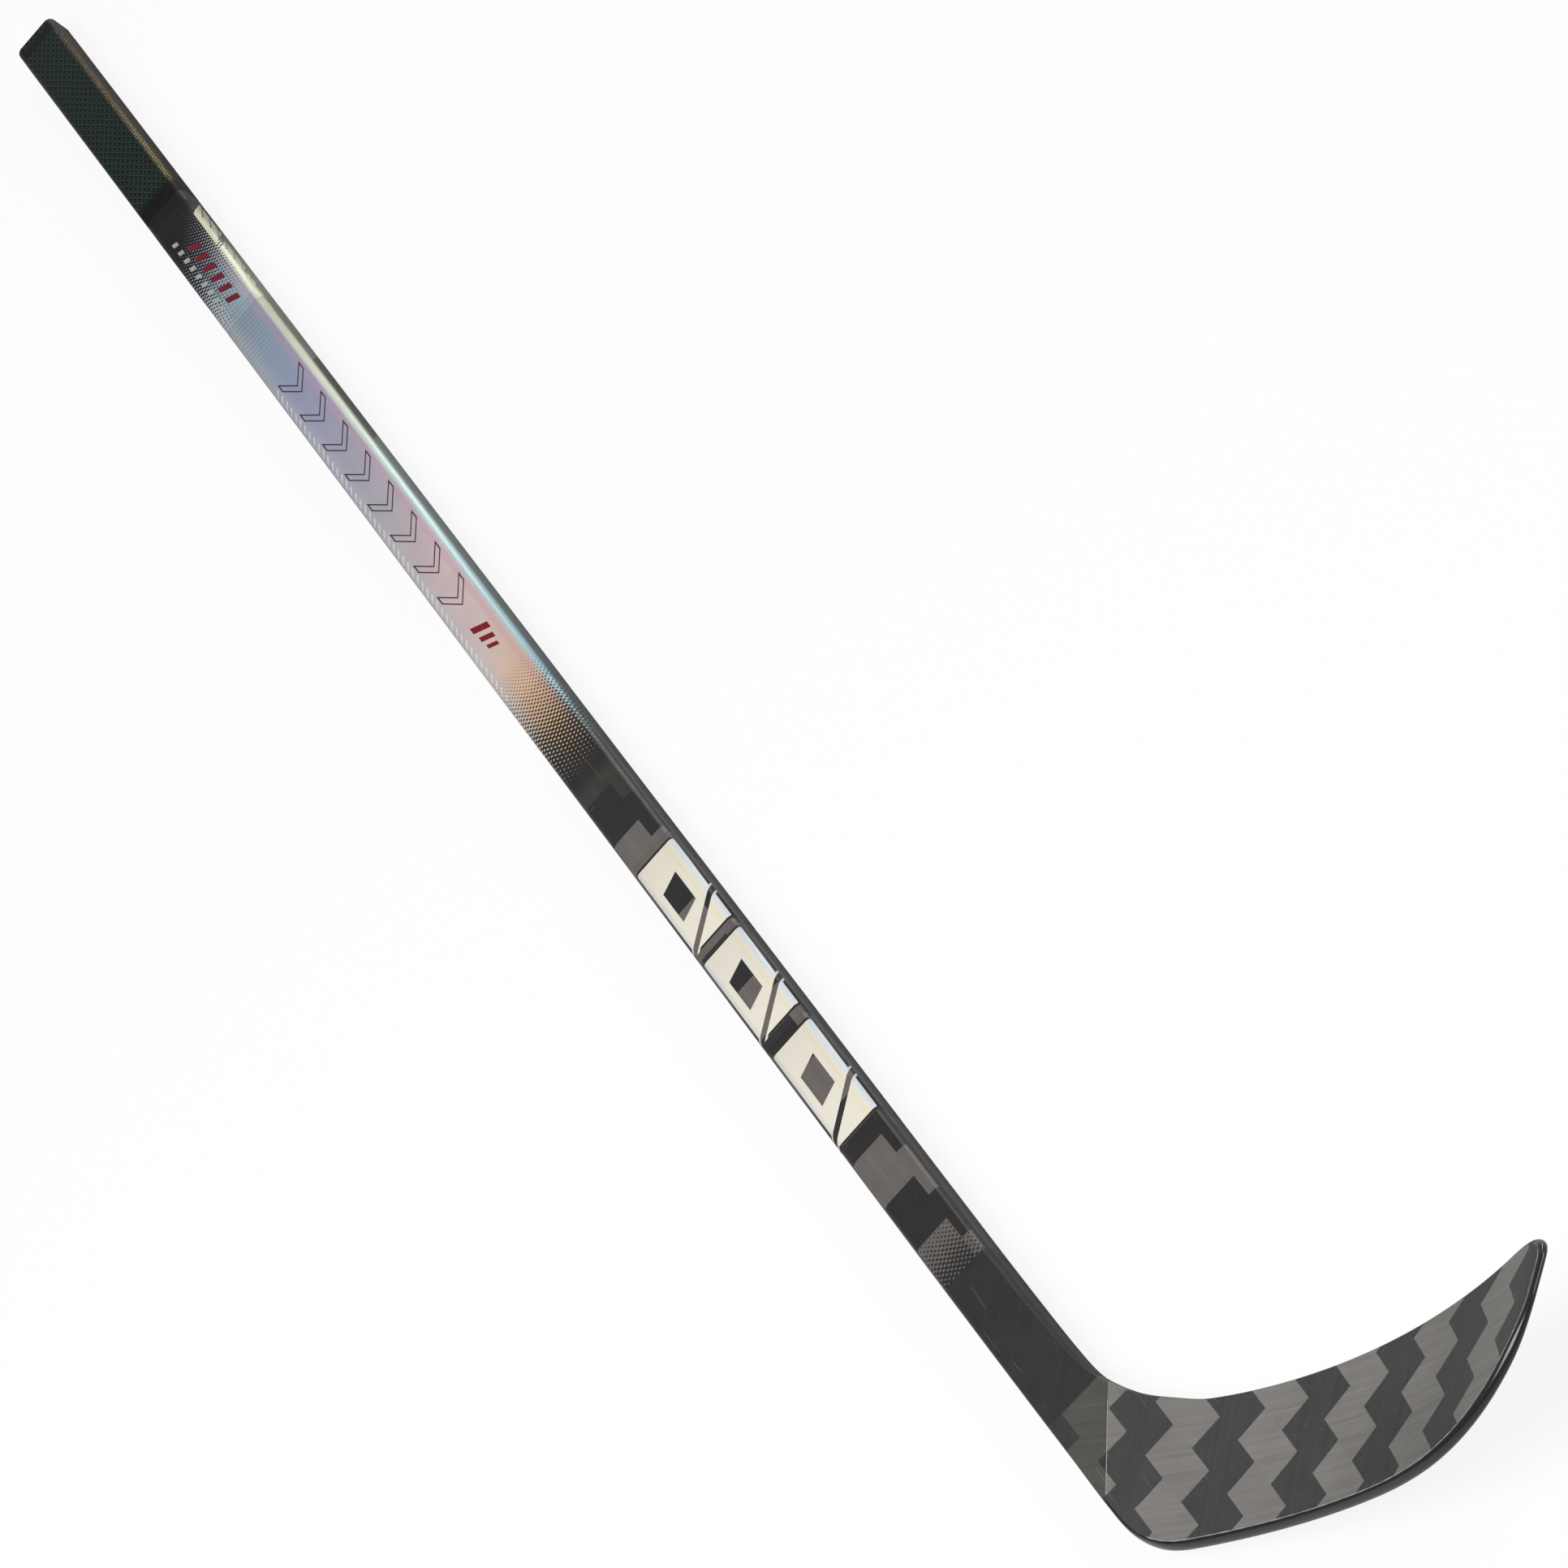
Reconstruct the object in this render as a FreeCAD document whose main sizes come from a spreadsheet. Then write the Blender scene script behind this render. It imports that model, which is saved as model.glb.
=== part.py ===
import FreeCAD, Part
import math
import os
import Sketcher
from FreeCAD import Vector

# One-piece composite ice hockey stick, left-handed, lying flat with its forehand face up.
# Millimetres. +X runs down the shaft from the butt to the heel, +Y is the toe side and +Z the
# forehand side. The origin is the centre of the shaft's back face at half the stick's length.
# Each sub-part is drawn from the heel point, where the line of the shaft's outer narrow face meets
# the line of the sole, and its Placement then moves it half a stick's length along +X.

# ---------------------------------------------------------------------------------------------
# Driving dimensions
# ---------------------------------------------------------------------------------------------

DIMENSIONS = [
    ("stick_length", 1524, "heel to butt, a 60 inch senior stick"),
    ("shaft_width", 30.5, "across the broad faces"),
    ("shaft_thick", 20, "across the narrow faces"),
    ("shaft_corner", 4.5, "corner radius of the shaft section"),
    ("tube_wall", 1.6, "laminate of the structural tube"),
    ("liner_wall", 0.5, "inner ply laid round the mandrel"),
    ("glue_line", 0.1, "gap left for the bond between bonded pieces"),
    ("film_depth", 0.3, "depth of the films let into the tube"),
    ("shaft_end", 205, "heel point to the lower end of the shaft tube"),
    ("tenon_length", 90, "tenon inside the lower end of the tube"),
    ("cap_lip", 6, "part of the end cap that shows"),
    ("cap_round", 2.2, "rounding of the cap's outer edge"),
    ("plug_length", 58, "part of the end cap inside the tube"),
    ("plug_clearance", 0.2, "running gap round the plug"),
    ("plug_wall", 2.5, "wall of the hollow plug"),
    ("plug_chamfer", 1.5, "lead-in at the plug's inner end"),
    ("grip_start", 1510, "grip film, distance from the heel point"),
    ("grip_run", 212, "length of the grip film"),
    ("motif_start", 1286, "pale motif band"),
    ("motif_run", 112, "length of the pale motif band"),
    ("foil_start", 1166, "iridescent foil"),
    ("foil_run", 424, "length of the foil"),
    ("band_start", 583.5, "first pale block of the lower shaft"),
    ("band_run", 83, "length of each pale block"),
    ("band_pitch", 87.5, "spacing of the pale blocks"),
    ("lie_angle", 45, "turn from the shaft line to the sole line, degrees"),
    ("heel_radius", 60, "outside of the heel"),
    ("throat_radius", 125, "inside of the heel"),
    ("throat_start", 127, "heel point to the start of the inner curve"),
    ("throat_flare", 1.2, "widening of the hosel above the inner curve"),
    ("blade_run", 273, "length of the blade along the curved face"),
    ("blade_height", 72.8, "height of the blade behind the heel"),
    ("blade_start", 26, "heel point to the first cut across the blade"),
    ("top_rise_start", 35, "heel point to the start of the top edge's rise"),
    ("top_rise_run", 200, "length over which the top edge rises"),
    ("top_rise", 21, "rise of the top edge towards the toe"),
    ("tip_drop", 22, "rounding of the upper toe corner"),
    ("tip_run", 35, "length over which the upper toe corner rounds"),
    ("rocker_start", 20, "heel point to the start of the rocker"),
    ("rocker_rise", 6, "rocker of the sole at the toe"),
    ("toe_rise", 58, "rounding of the lower toe corner"),
    ("toe_run", 133, "length over which the lower toe corner rounds"),
    ("turn_steady", 31.8, "curve of the blade, steady part, degrees"),
    ("turn_growing", 5, "curve of the blade, part that grows to the toe, degrees"),
    ("face_opening", 6, "opening of the face at the toe, degrees"),
    ("blade_lift", 2.3, "blade's middle surface in front of the shaft's"),
    ("blade_thick", 8, "blade behind the heel"),
    ("toe_thick", 5, "blade at the toe"),
    ("skin_wall", 1.0, "carbon face skins"),
    ("hosel_wall", 1.4, "carbon wrap of the hosel"),
    ("ply_gap", 0.06, "gap left for the resin between laminated pieces"),
    ("sole_rim", 7, "height of the solid rim along the sole"),
    ("top_rim", 5, "height of the solid rim along the top edge"),
    ("rib_thick", 1.6, "carbon ribs between the face skins"),
    ("toe_cap_run", 13, "length of the solid toe"),
]

# Powers that shape the blade's edges
TOP_RISE_POWER = 1.7
ROCKER_POWER = 1.15
TOE_POWER = 2.6
# Cuts round the heel: degrees along the throat, degrees along the heel, thickness, lift
HEEL_CUTS = ((28, 12, 11.4, 0.5), (38, 29, 9.4, 1.6))
# Cuts along the blade, as shares of its length from the heel to the solid toe
BLADE_CUTS = (0.0, 0.15, 0.3, 0.45, 0.6, 0.73, 0.84, 0.93, 1.0)

document = FreeCAD.newDocument("hockey_stick")
sheet = document.addObject("Spreadsheet::Sheet", "Sheet")
for row_number, (alias, value, note) in enumerate(DIMENSIONS, start=1):
    sheet.set("A%d" % row_number, note)
    sheet.set("B%d" % row_number, str(value))
    sheet.setAlias("B%d" % row_number, alias)
document.recompute()

pieces = []


def size(alias):
    """The sheet's value for one driving dimension."""
    return float(sheet.get(alias))


# ---------------------------------------------------------------------------------------------
# Shaft pieces: every section is the shaft's rounded rectangle, set in by some amount
# ---------------------------------------------------------------------------------------------

def half_stick():
    """The placement that brings the middle of the stick's length to the origin."""
    return FreeCAD.Placement(Vector(size("stick_length") / 2, 0, 0), FreeCAD.Rotation())


def new_body(name):
    """A PartDesign body whose label is also its node name."""
    body = document.addObject("PartDesign::Body", name)
    body.Label = name
    body.Placement = half_stick()
    pieces.append(body)
    return body


def cross_sketch(body, name, place):
    """A sketch across the shaft, at an expression's place along X."""
    plane = [item for item in body.Origin.OriginFeatures if item.Role == "YZ_Plane"][0]
    sketch = body.newObject("Sketcher::SketchObject", name)
    sketch.AttachmentSupport = [(plane, "")]
    sketch.MapMode = "FlatFace"
    sketch.setExpression("AttachmentOffset.Base.z", place)
    return sketch


def add_section(sketch, inset, inset_value):
    """Draw the shaft's section, set in by inset on all sides, and tie it to the sheet."""
    corner = size("shaft_corner") - inset_value
    half = size("shaft_width") / 2 - inset_value
    low = inset_value
    high = size("shaft_thick") - inset_value
    # corner centres, counter-clockwise from the lower right
    centres = [(half - corner, low + corner), (half - corner, high - corner),
               (corner - half, high - corner), (corner - half, low + corner)]
    first = sketch.GeometryCount
    for index, (across, up) in enumerate(centres):
        start = math.radians(90 * index - 90)
        circle = Part.Circle(Vector(across, up, 0), Vector(0, 0, 1), corner)
        sketch.addGeometry(Part.ArcOfCircle(circle, start, start + math.pi / 2), False)
    for index in range(4):
        angle = math.radians(90 * index)
        along = Vector(math.cos(angle), math.sin(angle), 0) * corner
        here = Vector(centres[index][0], centres[index][1], 0) + along
        after = centres[(index + 1) % 4]
        there = Vector(after[0], after[1], 0) + along
        sketch.addGeometry(Part.LineSegment(here, there), False)
    arcs = [first + index for index in range(4)]
    lines = [first + 4 + index for index in range(4)]
    for index in range(4):
        sketch.addConstraint(Sketcher.Constraint("Tangent", arcs[index], 2, lines[index], 1))
        sketch.addConstraint(Sketcher.Constraint("Tangent", lines[index], 2, arcs[(index + 1) % 4], 1))
    for index in (0, 2):
        sketch.addConstraint(Sketcher.Constraint("Vertical", lines[index]))
        sketch.addConstraint(Sketcher.Constraint("Horizontal", lines[index + 1]))
    for index in range(1, 4):
        sketch.addConstraint(Sketcher.Constraint("Equal", arcs[0], arcs[index]))
    driving = [
        (Sketcher.Constraint("Radius", arcs[0], corner), "Sheet.shaft_corner - (%s)" % inset),
        (Sketcher.Constraint("DistanceX", lines[2], 1, lines[0], 1, 2 * half),
         "Sheet.shaft_width - 2 * (%s)" % inset),
        (Sketcher.Constraint("DistanceY", lines[3], 1, lines[1], 1, high - low),
         "Sheet.shaft_thick - 2 * (%s)" % inset),
        (Sketcher.Constraint("DistanceX", -1, 1, lines[0], 1, half), "Sheet.shaft_width / 2 - (%s)" % inset),
        (Sketcher.Constraint("DistanceY", -1, 1, lines[3], 1, low), "%s" % inset),
    ]
    for constraint, expression in driving:
        number = sketch.addConstraint(constraint)
        sketch.setExpression("Constraints[%d]" % number, expression)


def pad(body, name, sketch, length):
    """Pad a sketch towards +X."""
    feature = body.newObject("PartDesign::Pad", name)
    feature.Profile = sketch
    feature.setExpression("Length", length)
    sketch.Visibility = False
    return feature


def sleeve(name, place, length, outer, inner):
    """A closed sleeve round the shaft. outer and inner are (expression, value) insets."""
    body = new_body(name)
    sketch = cross_sketch(body, name + "_section", place)
    add_section(sketch, outer[0], outer[1])
    add_section(sketch, inner[0], inner[1])
    pad(body, name + "_pad", sketch, length)
    return body


def recess(body, name, place, length):
    """Take the film's depth off the outside of a shaft body, over one length."""
    sketch = cross_sketch(body, name + "_section", place)
    beyond = -4.0
    add_section(sketch, "%g" % beyond, beyond)
    add_section(sketch, "Sheet.film_depth", size("film_depth"))
    feature = body.newObject("PartDesign::Pocket", name)
    feature.Profile = sketch
    feature.Reversed = True
    feature.setExpression("Length", length)
    before = body.Shape.Volume
    document.recompute()
    if not feature.Shape.Volume < before - 1:
        raise RuntimeError("recess %s cuts nothing" % name)


FLUSH = ("0", 0.0)
FILM = ("Sheet.film_depth", size("film_depth"))
TUBE = ("Sheet.tube_wall", size("tube_wall"))
LINER_OUTER = ("Sheet.tube_wall + Sheet.glue_line", size("tube_wall") + size("glue_line"))
LINER_INNER = ("Sheet.tube_wall + Sheet.glue_line + Sheet.liner_wall",
               size("tube_wall") + size("glue_line") + size("liner_wall"))
PLUG_INSET = ("Sheet.tube_wall + Sheet.glue_line + Sheet.liner_wall + Sheet.plug_clearance",
              LINER_INNER[1] + size("plug_clearance"))
PLUG_BORE = (PLUG_INSET[0] + " + Sheet.plug_wall", PLUG_INSET[1] + size("plug_wall"))
BOND = ("Sheet.tube_wall + 2 * Sheet.glue_line", size("tube_wall") + 2 * size("glue_line"))

# Films and decals lie in recesses of the tube, flush with its faces: (name, start, length)
FILMS = [
    ("grip_film", "-Sheet.grip_start", "Sheet.grip_run"),
    ("motif_decal", "-Sheet.motif_start", "Sheet.motif_run"),
    ("foil_wrap", "-Sheet.foil_start", "Sheet.foil_run"),
    ("block_decal_upper", "-Sheet.band_start", "Sheet.band_run"),
    ("block_decal_middle", "-Sheet.band_start + Sheet.band_pitch", "Sheet.band_run"),
    ("block_decal_lower", "-Sheet.band_start + 2 * Sheet.band_pitch", "Sheet.band_run"),
]


def build_shaft():
    """The structural tube, its liner, and the films let into its outside."""
    tube = sleeve("shaft_tube", "-Sheet.stick_length + Sheet.cap_lip",
                  "Sheet.stick_length - Sheet.cap_lip - Sheet.shaft_end", FLUSH, TUBE)
    document.recompute()
    for name, place, length in FILMS:
        recess(tube, name + "_recess", place, length)
        sleeve(name, place, length, FLUSH, FILM)
    sleeve("shaft_liner", "-Sheet.stick_length + Sheet.cap_lip",
           "Sheet.stick_length - Sheet.cap_lip - Sheet.shaft_end - Sheet.tenon_length - Sheet.glue_line",
           LINER_OUTER, LINER_INNER)
    sleeve("tenon_bond", "-Sheet.shaft_end - Sheet.tenon_length", "Sheet.tenon_length", TUBE, BOND)


def build_end_cap():
    """The cap at the butt: a rounded lip, and a hollow plug that fits in the tube."""
    body = new_body("end_cap")
    lip_sketch = cross_sketch(body, "cap_lip_section", "-Sheet.stick_length")
    add_section(lip_sketch, *FLUSH)
    lip = pad(body, "cap_lip", lip_sketch, "Sheet.cap_lip")
    document.recompute()
    outer_edges = []
    for number, edge in enumerate(lip.Shape.Edges, start=1):
        if edge.BoundBox.XMax < -size("stick_length") + 0.01:
            outer_edges.append("Edge%d" % number)
    rounding = body.newObject("PartDesign::Fillet", "cap_rounding")
    rounding.Base = (lip, outer_edges)
    rounding.setExpression("Radius", "Sheet.cap_round")
    plug_sketch = cross_sketch(body, "plug_section", "-Sheet.stick_length + Sheet.cap_lip")
    add_section(plug_sketch, *PLUG_INSET)
    plug = pad(body, "plug", plug_sketch, "Sheet.plug_length")
    document.recompute()
    inner_end = size("cap_lip") + size("plug_length") - size("stick_length")
    end_edges = []
    for number, edge in enumerate(plug.Shape.Edges, start=1):
        if edge.BoundBox.XMin > inner_end - 0.01:
            end_edges.append("Edge%d" % number)
    lead_in = body.newObject("PartDesign::Chamfer", "plug_lead_in")
    lead_in.Base = (plug, end_edges)
    lead_in.setExpression("Size", "Sheet.plug_chamfer")
    document.recompute()
    bore_sketch = cross_sketch(body, "plug_bore_section", "-Sheet.stick_length + Sheet.cap_lip")
    bore_inset = size("plug_wall") + PLUG_INSET[1]
    bore_corner = 1.0
    half = size("shaft_width") / 2 - bore_inset
    high = size("shaft_thick") - bore_inset
    low = bore_inset
    corners = [Vector(-half, low, 0), Vector(half, low, 0), Vector(half, high, 0), Vector(-half, high, 0)]
    for index in range(4):
        bore_sketch.addGeometry(Part.LineSegment(corners[index], corners[(index + 1) % 4]), False)
    for index in range(4):
        bore_sketch.addConstraint(Sketcher.Constraint("Coincident", index, 2, (index + 1) % 4, 1))
    for index in (0, 2):
        bore_sketch.addConstraint(Sketcher.Constraint("Horizontal", index))
        bore_sketch.addConstraint(Sketcher.Constraint("Vertical", index + 1))
    bore_sizes = [
        (Sketcher.Constraint("DistanceX", -1, 1, 0, 2, half), "Sheet.shaft_width / 2 - (%s)" % PLUG_BORE[0]),
        (Sketcher.Constraint("DistanceX", 0, 1, 0, 2, 2 * half),
         "Sheet.shaft_width - 2 * (%s)" % PLUG_BORE[0]),
        (Sketcher.Constraint("DistanceY", -1, 1, 0, 1, low), PLUG_BORE[0]),
        (Sketcher.Constraint("DistanceY", 1, 1, 1, 2, high - low),
         "Sheet.shaft_thick - 2 * (%s)" % PLUG_BORE[0]),
    ]
    for constraint, expression in bore_sizes:
        number = bore_sketch.addConstraint(constraint)
        bore_sketch.setExpression("Constraints[%d]" % number, expression)
    bore = body.newObject("PartDesign::Pocket", "plug_bore")
    bore.Profile = bore_sketch
    bore.Reversed = True
    bore.setExpression("Length", "Sheet.plug_length + 1")
    before = body.Shape.Volume
    document.recompute()
    if not bore.Shape.Volume < before - 1:
        raise RuntimeError("the plug's bore cuts nothing")


# ---------------------------------------------------------------------------------------------
# Blade pieces: lofts through stations that turn round the heel and then follow the curved face
# ---------------------------------------------------------------------------------------------

class Station:
    """A cut through the hosel or blade: a sole-side point, the way up the face, and the normal."""

    def __init__(self, foot, up, normal, height, thick):
        self.foot = foot
        self.up = up
        self.normal = normal
        self.height = height
        self.thick = thick

    def point(self, rise, depth):
        """A point rise above the foot and depth in front of the middle surface."""
        return self.foot + self.up * rise + self.normal * depth


def heel_station(inner, outer, thick, lift=0.0):
    """A station parallel to the shaft's own plane, from an outer to an inner edge point."""
    middle = size("shaft_thick") / 2 + lift
    foot = Vector(outer[0], outer[1], middle)
    head = Vector(inner[0], inner[1], middle)
    reach = head - foot
    return Station(foot, Vector(reach).normalize(), Vector(0, 0, 1), reach.Length, thick)


def throat_point(angle):
    """A point on the inner curve, at an angle in degrees from its start."""
    turn = math.radians(angle)
    radius = size("throat_radius")
    top_of_arc = size("shaft_width") / 2 + radius
    flare = size("throat_flare") * (1 - angle / size("lie_angle"))
    return (-size("throat_start") + radius * math.sin(turn), top_of_arc - radius * math.cos(turn) + flare)


def heel_point(angle):
    """A point on the outside of the heel, at an angle in degrees from its start."""
    turn = math.radians(angle)
    radius = size("heel_radius")
    start = -radius * math.tan(math.radians(size("lie_angle") / 2))
    return (start + radius * math.sin(turn), -size("shaft_width") / 2 + radius * (1 - math.cos(turn)))


def sole_rise(run):
    """Height of the sole above its own straight line: rocker, then the round of the toe."""
    share = max(0.0, (run - size("rocker_start")) / (size("blade_run") - size("rocker_start")))
    into_toe = max(0.0, (run - size("blade_run") + size("toe_run")) / size("toe_run"))
    rounded = 1 - math.sqrt(max(0.0, 1 - into_toe ** TOE_POWER))
    return size("rocker_rise") * share ** ROCKER_POWER + size("toe_rise") * rounded


def top_height(run):
    """Height of the top edge above the sole line, with the upper toe corner rounded off."""
    share = max(0.0, (run - size("top_rise_start")) / size("top_rise_run"))
    into_tip = max(0.0, (run - size("blade_run") + size("tip_run")) / size("tip_run"))
    rounded = 1 - math.sqrt(max(0.0, 1 - into_tip ** 2))
    return size("blade_height") + size("top_rise") * share ** TOP_RISE_POWER - size("tip_drop") * rounded


def face_turn(run):
    """How far the face has turned towards the forehand side, in radians."""
    share = run / size("blade_run")
    return math.radians(size("turn_steady") * share + size("turn_growing") * share ** 2)


def blade_station(run):
    """The station at a distance along the curved middle surface from the heel point."""
    steps = 200
    along = 0.0
    lift = 0.0
    for step in range(steps):
        turn = face_turn(run * (step + 0.5) / steps)
        along += math.cos(turn) * run / steps
        lift += math.sin(turn) * run / steps
    lie = math.radians(size("lie_angle"))
    sole_way = Vector(math.cos(lie), math.sin(lie), 0)
    rise_way = Vector(-math.sin(lie), math.cos(lie), 0)
    turn = face_turn(run)
    opening = math.radians(size("face_opening")) * run / size("blade_run")
    tangent = sole_way * math.cos(turn) + Vector(0, 0, math.sin(turn))
    square = sole_way * -math.sin(turn) + Vector(0, 0, math.cos(turn))
    up = rise_way * math.cos(opening) - square * math.sin(opening)
    normal = tangent.cross(up)
    origin = Vector(0, -size("shaft_width") / 2, size("shaft_thick") / 2)
    line = origin + sole_way * along + Vector(0, 0, lift)
    low = sole_rise(run)
    share = (run - size("blade_start")) / (size("blade_run") - size("blade_start"))
    thick = size("blade_thick") + (size("toe_thick") - size("blade_thick")) * share
    foot = line + up * low + normal * size("blade_lift")
    return Station(foot, up, normal, top_height(run) - low, thick)


def hosel_stations():
    """Stations of the taper from the shaft's section to the heel seam."""
    half = size("shaft_width") / 2
    top = -size("shaft_end")
    flare = half + size("throat_flare")
    return [
        heel_station((top, half), (top, -half), size("shaft_thick")),
        heel_station((-165, half + 0.4), (-160, -half), 19.2),
        heel_station((-size("throat_start"), flare), (-110, -half), 17.6),
        heel_station(throat_point(10), (-70, -half), 15.6),
        heel_station(throat_point(18), (-34, -half), 13.6),
    ]


def blade_stations():
    """Stations from the heel seam to the solid toe."""
    stations = [hosel_stations()[-1]]
    for throat_angle, heel_angle, thick, lift in HEEL_CUTS:
        stations.append(heel_station(throat_point(throat_angle), heel_point(heel_angle), thick, lift))
    first = size("blade_start")
    last = size("blade_run") - size("toe_cap_run")
    for share in BLADE_CUTS:
        stations.append(blade_station(first + (last - first) * share))
    return stations


def box_wire(station, low, high, back, front):
    """A four-sided section between two heights and two depths."""
    corners = [station.point(low, back), station.point(high, back),
               station.point(high, front), station.point(low, front)]
    return Part.makePolygon(corners + corners[:1])


def round_wire(station, low, high, back, front, corner):
    """A section between two heights and two depths, with rounded corners."""
    diagonal = corner * (1 - math.sqrt(0.5))
    spots = []
    for rise, depth, rise_way, depth_way in ((low, back, 1, 1), (high, back, -1, 1),
                                             (high, front, -1, -1), (low, front, 1, -1)):
        along_depth = station.point(rise, depth + depth_way * corner)
        along_rise = station.point(rise + rise_way * corner, depth)
        middle = station.point(rise + rise_way * diagonal, depth + depth_way * diagonal)
        spots.append((along_depth, middle, along_rise) if rise_way == depth_way
                     else (along_rise, middle, along_depth))
    edges = []
    for index, (start, middle, end) in enumerate(spots):
        edges.append(Part.Arc(start, middle, end).toShape())
        edges.append(Part.LineSegment(end, spots[(index + 1) % 4][0]).toShape())
    return Part.Wire(edges)


def rim_wire(station, outside, inside, half):
    """A rim's section: square towards the core, round on the outside."""
    way = 1 if inside > outside else -1
    shoulder = outside + way * min(half, 0.8 * abs(inside - outside))
    back_in = station.point(inside, -half)
    front_in = station.point(inside, half)
    back_out = station.point(shoulder, -half)
    front_out = station.point(shoulder, half)
    nose = station.point(outside, 0)
    return Part.Wire([
        Part.LineSegment(front_in, back_in).toShape(),
        Part.LineSegment(back_in, back_out).toShape(),
        Part.Arc(back_out, nose, front_out).toShape(),
        Part.LineSegment(front_out, front_in).toShape(),
    ])


def add_solid(name, solid):
    """A sub-part that holds a solid made by Part's own functions."""
    feature = document.addObject("Part::Feature", name)
    feature.Label = name
    feature.Shape = solid
    feature.Placement = half_stick()
    pieces.append(feature)


def lofted(name, wires):
    """A sub-part whose solid is a loft through the given sections."""
    add_solid(name, Part.makeLoft(wires, True, False))


def build_hosel():
    """The carbon wrap over the taper, and the core whose tenon goes up into the shaft."""
    stations = hosel_stations()
    wall = size("hosel_wall")
    corners = (4.5, 4.6, 4.8, 5, 5)
    outer = []
    inner = []
    core = []
    for station, corner in zip(stations, corners):
        half = station.thick / 2
        outer.append(round_wire(station, 0, station.height, -half, half, corner))
        inner.append(round_wire(station, wall, station.height - wall, wall - half, half - wall, corner - wall))
        inset = wall + size("ply_gap")
        core.append(round_wire(station, inset, station.height - inset, inset - half, half - inset,
                               corner - inset))
    add_solid("hosel_wrap", Part.makeLoft(outer, True, False).cut(Part.makeLoft(inner, True, False)))
    lofted("hosel_core", core)


def build_tenon():
    """The solid tenon, bonded inside the lower end of the shaft tube."""
    body = new_body("blade_tenon")
    inset = BOND[0] + " + Sheet.glue_line"
    sketch = cross_sketch(body, "tenon_section", "-Sheet.shaft_end - Sheet.tenon_length")
    add_section(sketch, inset, BOND[1] + size("glue_line"))
    pad(body, "tenon_pad", sketch, "Sheet.tenon_length - Sheet.glue_line")


def build_blade():
    """Rims, skins, ribs and foam cores of the blade, and its solid toe."""
    stations = blade_stations()
    gap = size("ply_gap")
    skin = size("skin_wall")
    sole_rim = size("sole_rim")
    top_rim = size("top_rim")
    rib = size("rib_thick")
    lofted("sole_rim", [rim_wire(cut, 0, sole_rim, cut.thick / 2) for cut in stations])
    lofted("top_rim", [rim_wire(cut, cut.height, cut.height - top_rim, cut.thick / 2) for cut in stations])

    def inside_low(cut):
        return sole_rim + gap

    def inside_high(cut):
        return cut.height - top_rim - gap

    lofted("forehand_skin", [box_wire(cut, inside_low(cut), inside_high(cut), cut.thick / 2 - skin,
                                      cut.thick / 2) for cut in stations])
    lofted("backhand_skin", [box_wire(cut, inside_low(cut), inside_high(cut), -cut.thick / 2,
                                      skin - cut.thick / 2) for cut in stations])

    def layer(name, low_share, high_share, low_trim, high_trim):
        """A piece between the skins, from one share of the inner height to another."""
        wires = []
        for cut in stations:
            low = inside_low(cut)
            span = inside_high(cut) - low
            half = cut.thick / 2 - skin - gap
            wires.append(box_wire(cut, low + low_share * span + low_trim,
                                  low + high_share * span - high_trim, -half, half))
        lofted(name, wires)

    first_rib = 0.34
    second_rib = 0.67
    beside = rib / 2 + gap
    layer("foam_core_lower", 0, first_rib, 0, beside)
    layer("rib_lower", first_rib, first_rib, -rib / 2, -rib / 2)
    layer("foam_core_middle", first_rib, second_rib, beside, beside)
    layer("rib_upper", second_rib, second_rib, -rib / 2, -rib / 2)
    layer("foam_core_upper", second_rib, 1, beside, 0)


def build_toe():
    """The solid toe, a rounded section that closes in to the tip."""
    start = size("blade_run") - size("toe_cap_run") + size("ply_gap")
    wires = []
    for share in (0.0, 0.4, 0.75, 1.0):
        cut = blade_station(start + (size("blade_run") - 0.4 - start) * share)
        half = cut.thick / 2 * (1 - 0.35 * share ** 2)
        wires.append(round_wire(cut, 0, cut.height, -half, half, min(half, cut.height / 2) - 0.1))
    lofted("toe_cap", wires)


def check_pieces():
    """Stop if any object failed to compute or any sub-part's shape is not a sound solid."""
    for item in document.Objects:
        if "Invalid" in item.State or "Error" in item.State:
            raise RuntimeError("%s is in state %s" % (item.Name, item.State))
    for piece in pieces:
        if piece.Shape.isNull() or not piece.Shape.isValid():
            raise RuntimeError("%s has no valid shape" % piece.Label)
        if piece.Shape.Volume <= 0:
            raise RuntimeError("%s has no volume" % piece.Label)


build_shaft()
build_end_cap()
build_tenon()
build_hosel()
build_blade()
build_toe()
document.recompute()
check_pieces()
os.makedirs("parts", exist_ok=True)
for piece in pieces:
    box = piece.Shape.BoundBox
    print("%-20s %10.0f mm3  z %6.1f to %6.1f" % (piece.Label, piece.Shape.Volume, box.ZMin, box.ZMax))
    piece.Shape.exportStep("parts/%s.step" % piece.Label)
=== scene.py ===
"""Looks of the ice hockey stick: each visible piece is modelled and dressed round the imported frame.

Metres, in the frame's own axes: +X runs down the shaft from the butt to the heel, +Y is the toe side
and +Z the forehand side. The shaft's back face lies on Z = 0. Artwork is laid out in millimetres,
along the shaft and round its section from the centre line of the forehand face.
"""

import logging
import math
from collections.abc import Callable, Iterator
from contextlib import contextmanager
from dataclasses import dataclass, field, replace
from enum import Enum

import bmesh
import bpy
from mathutils import Matrix, Vector


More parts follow.
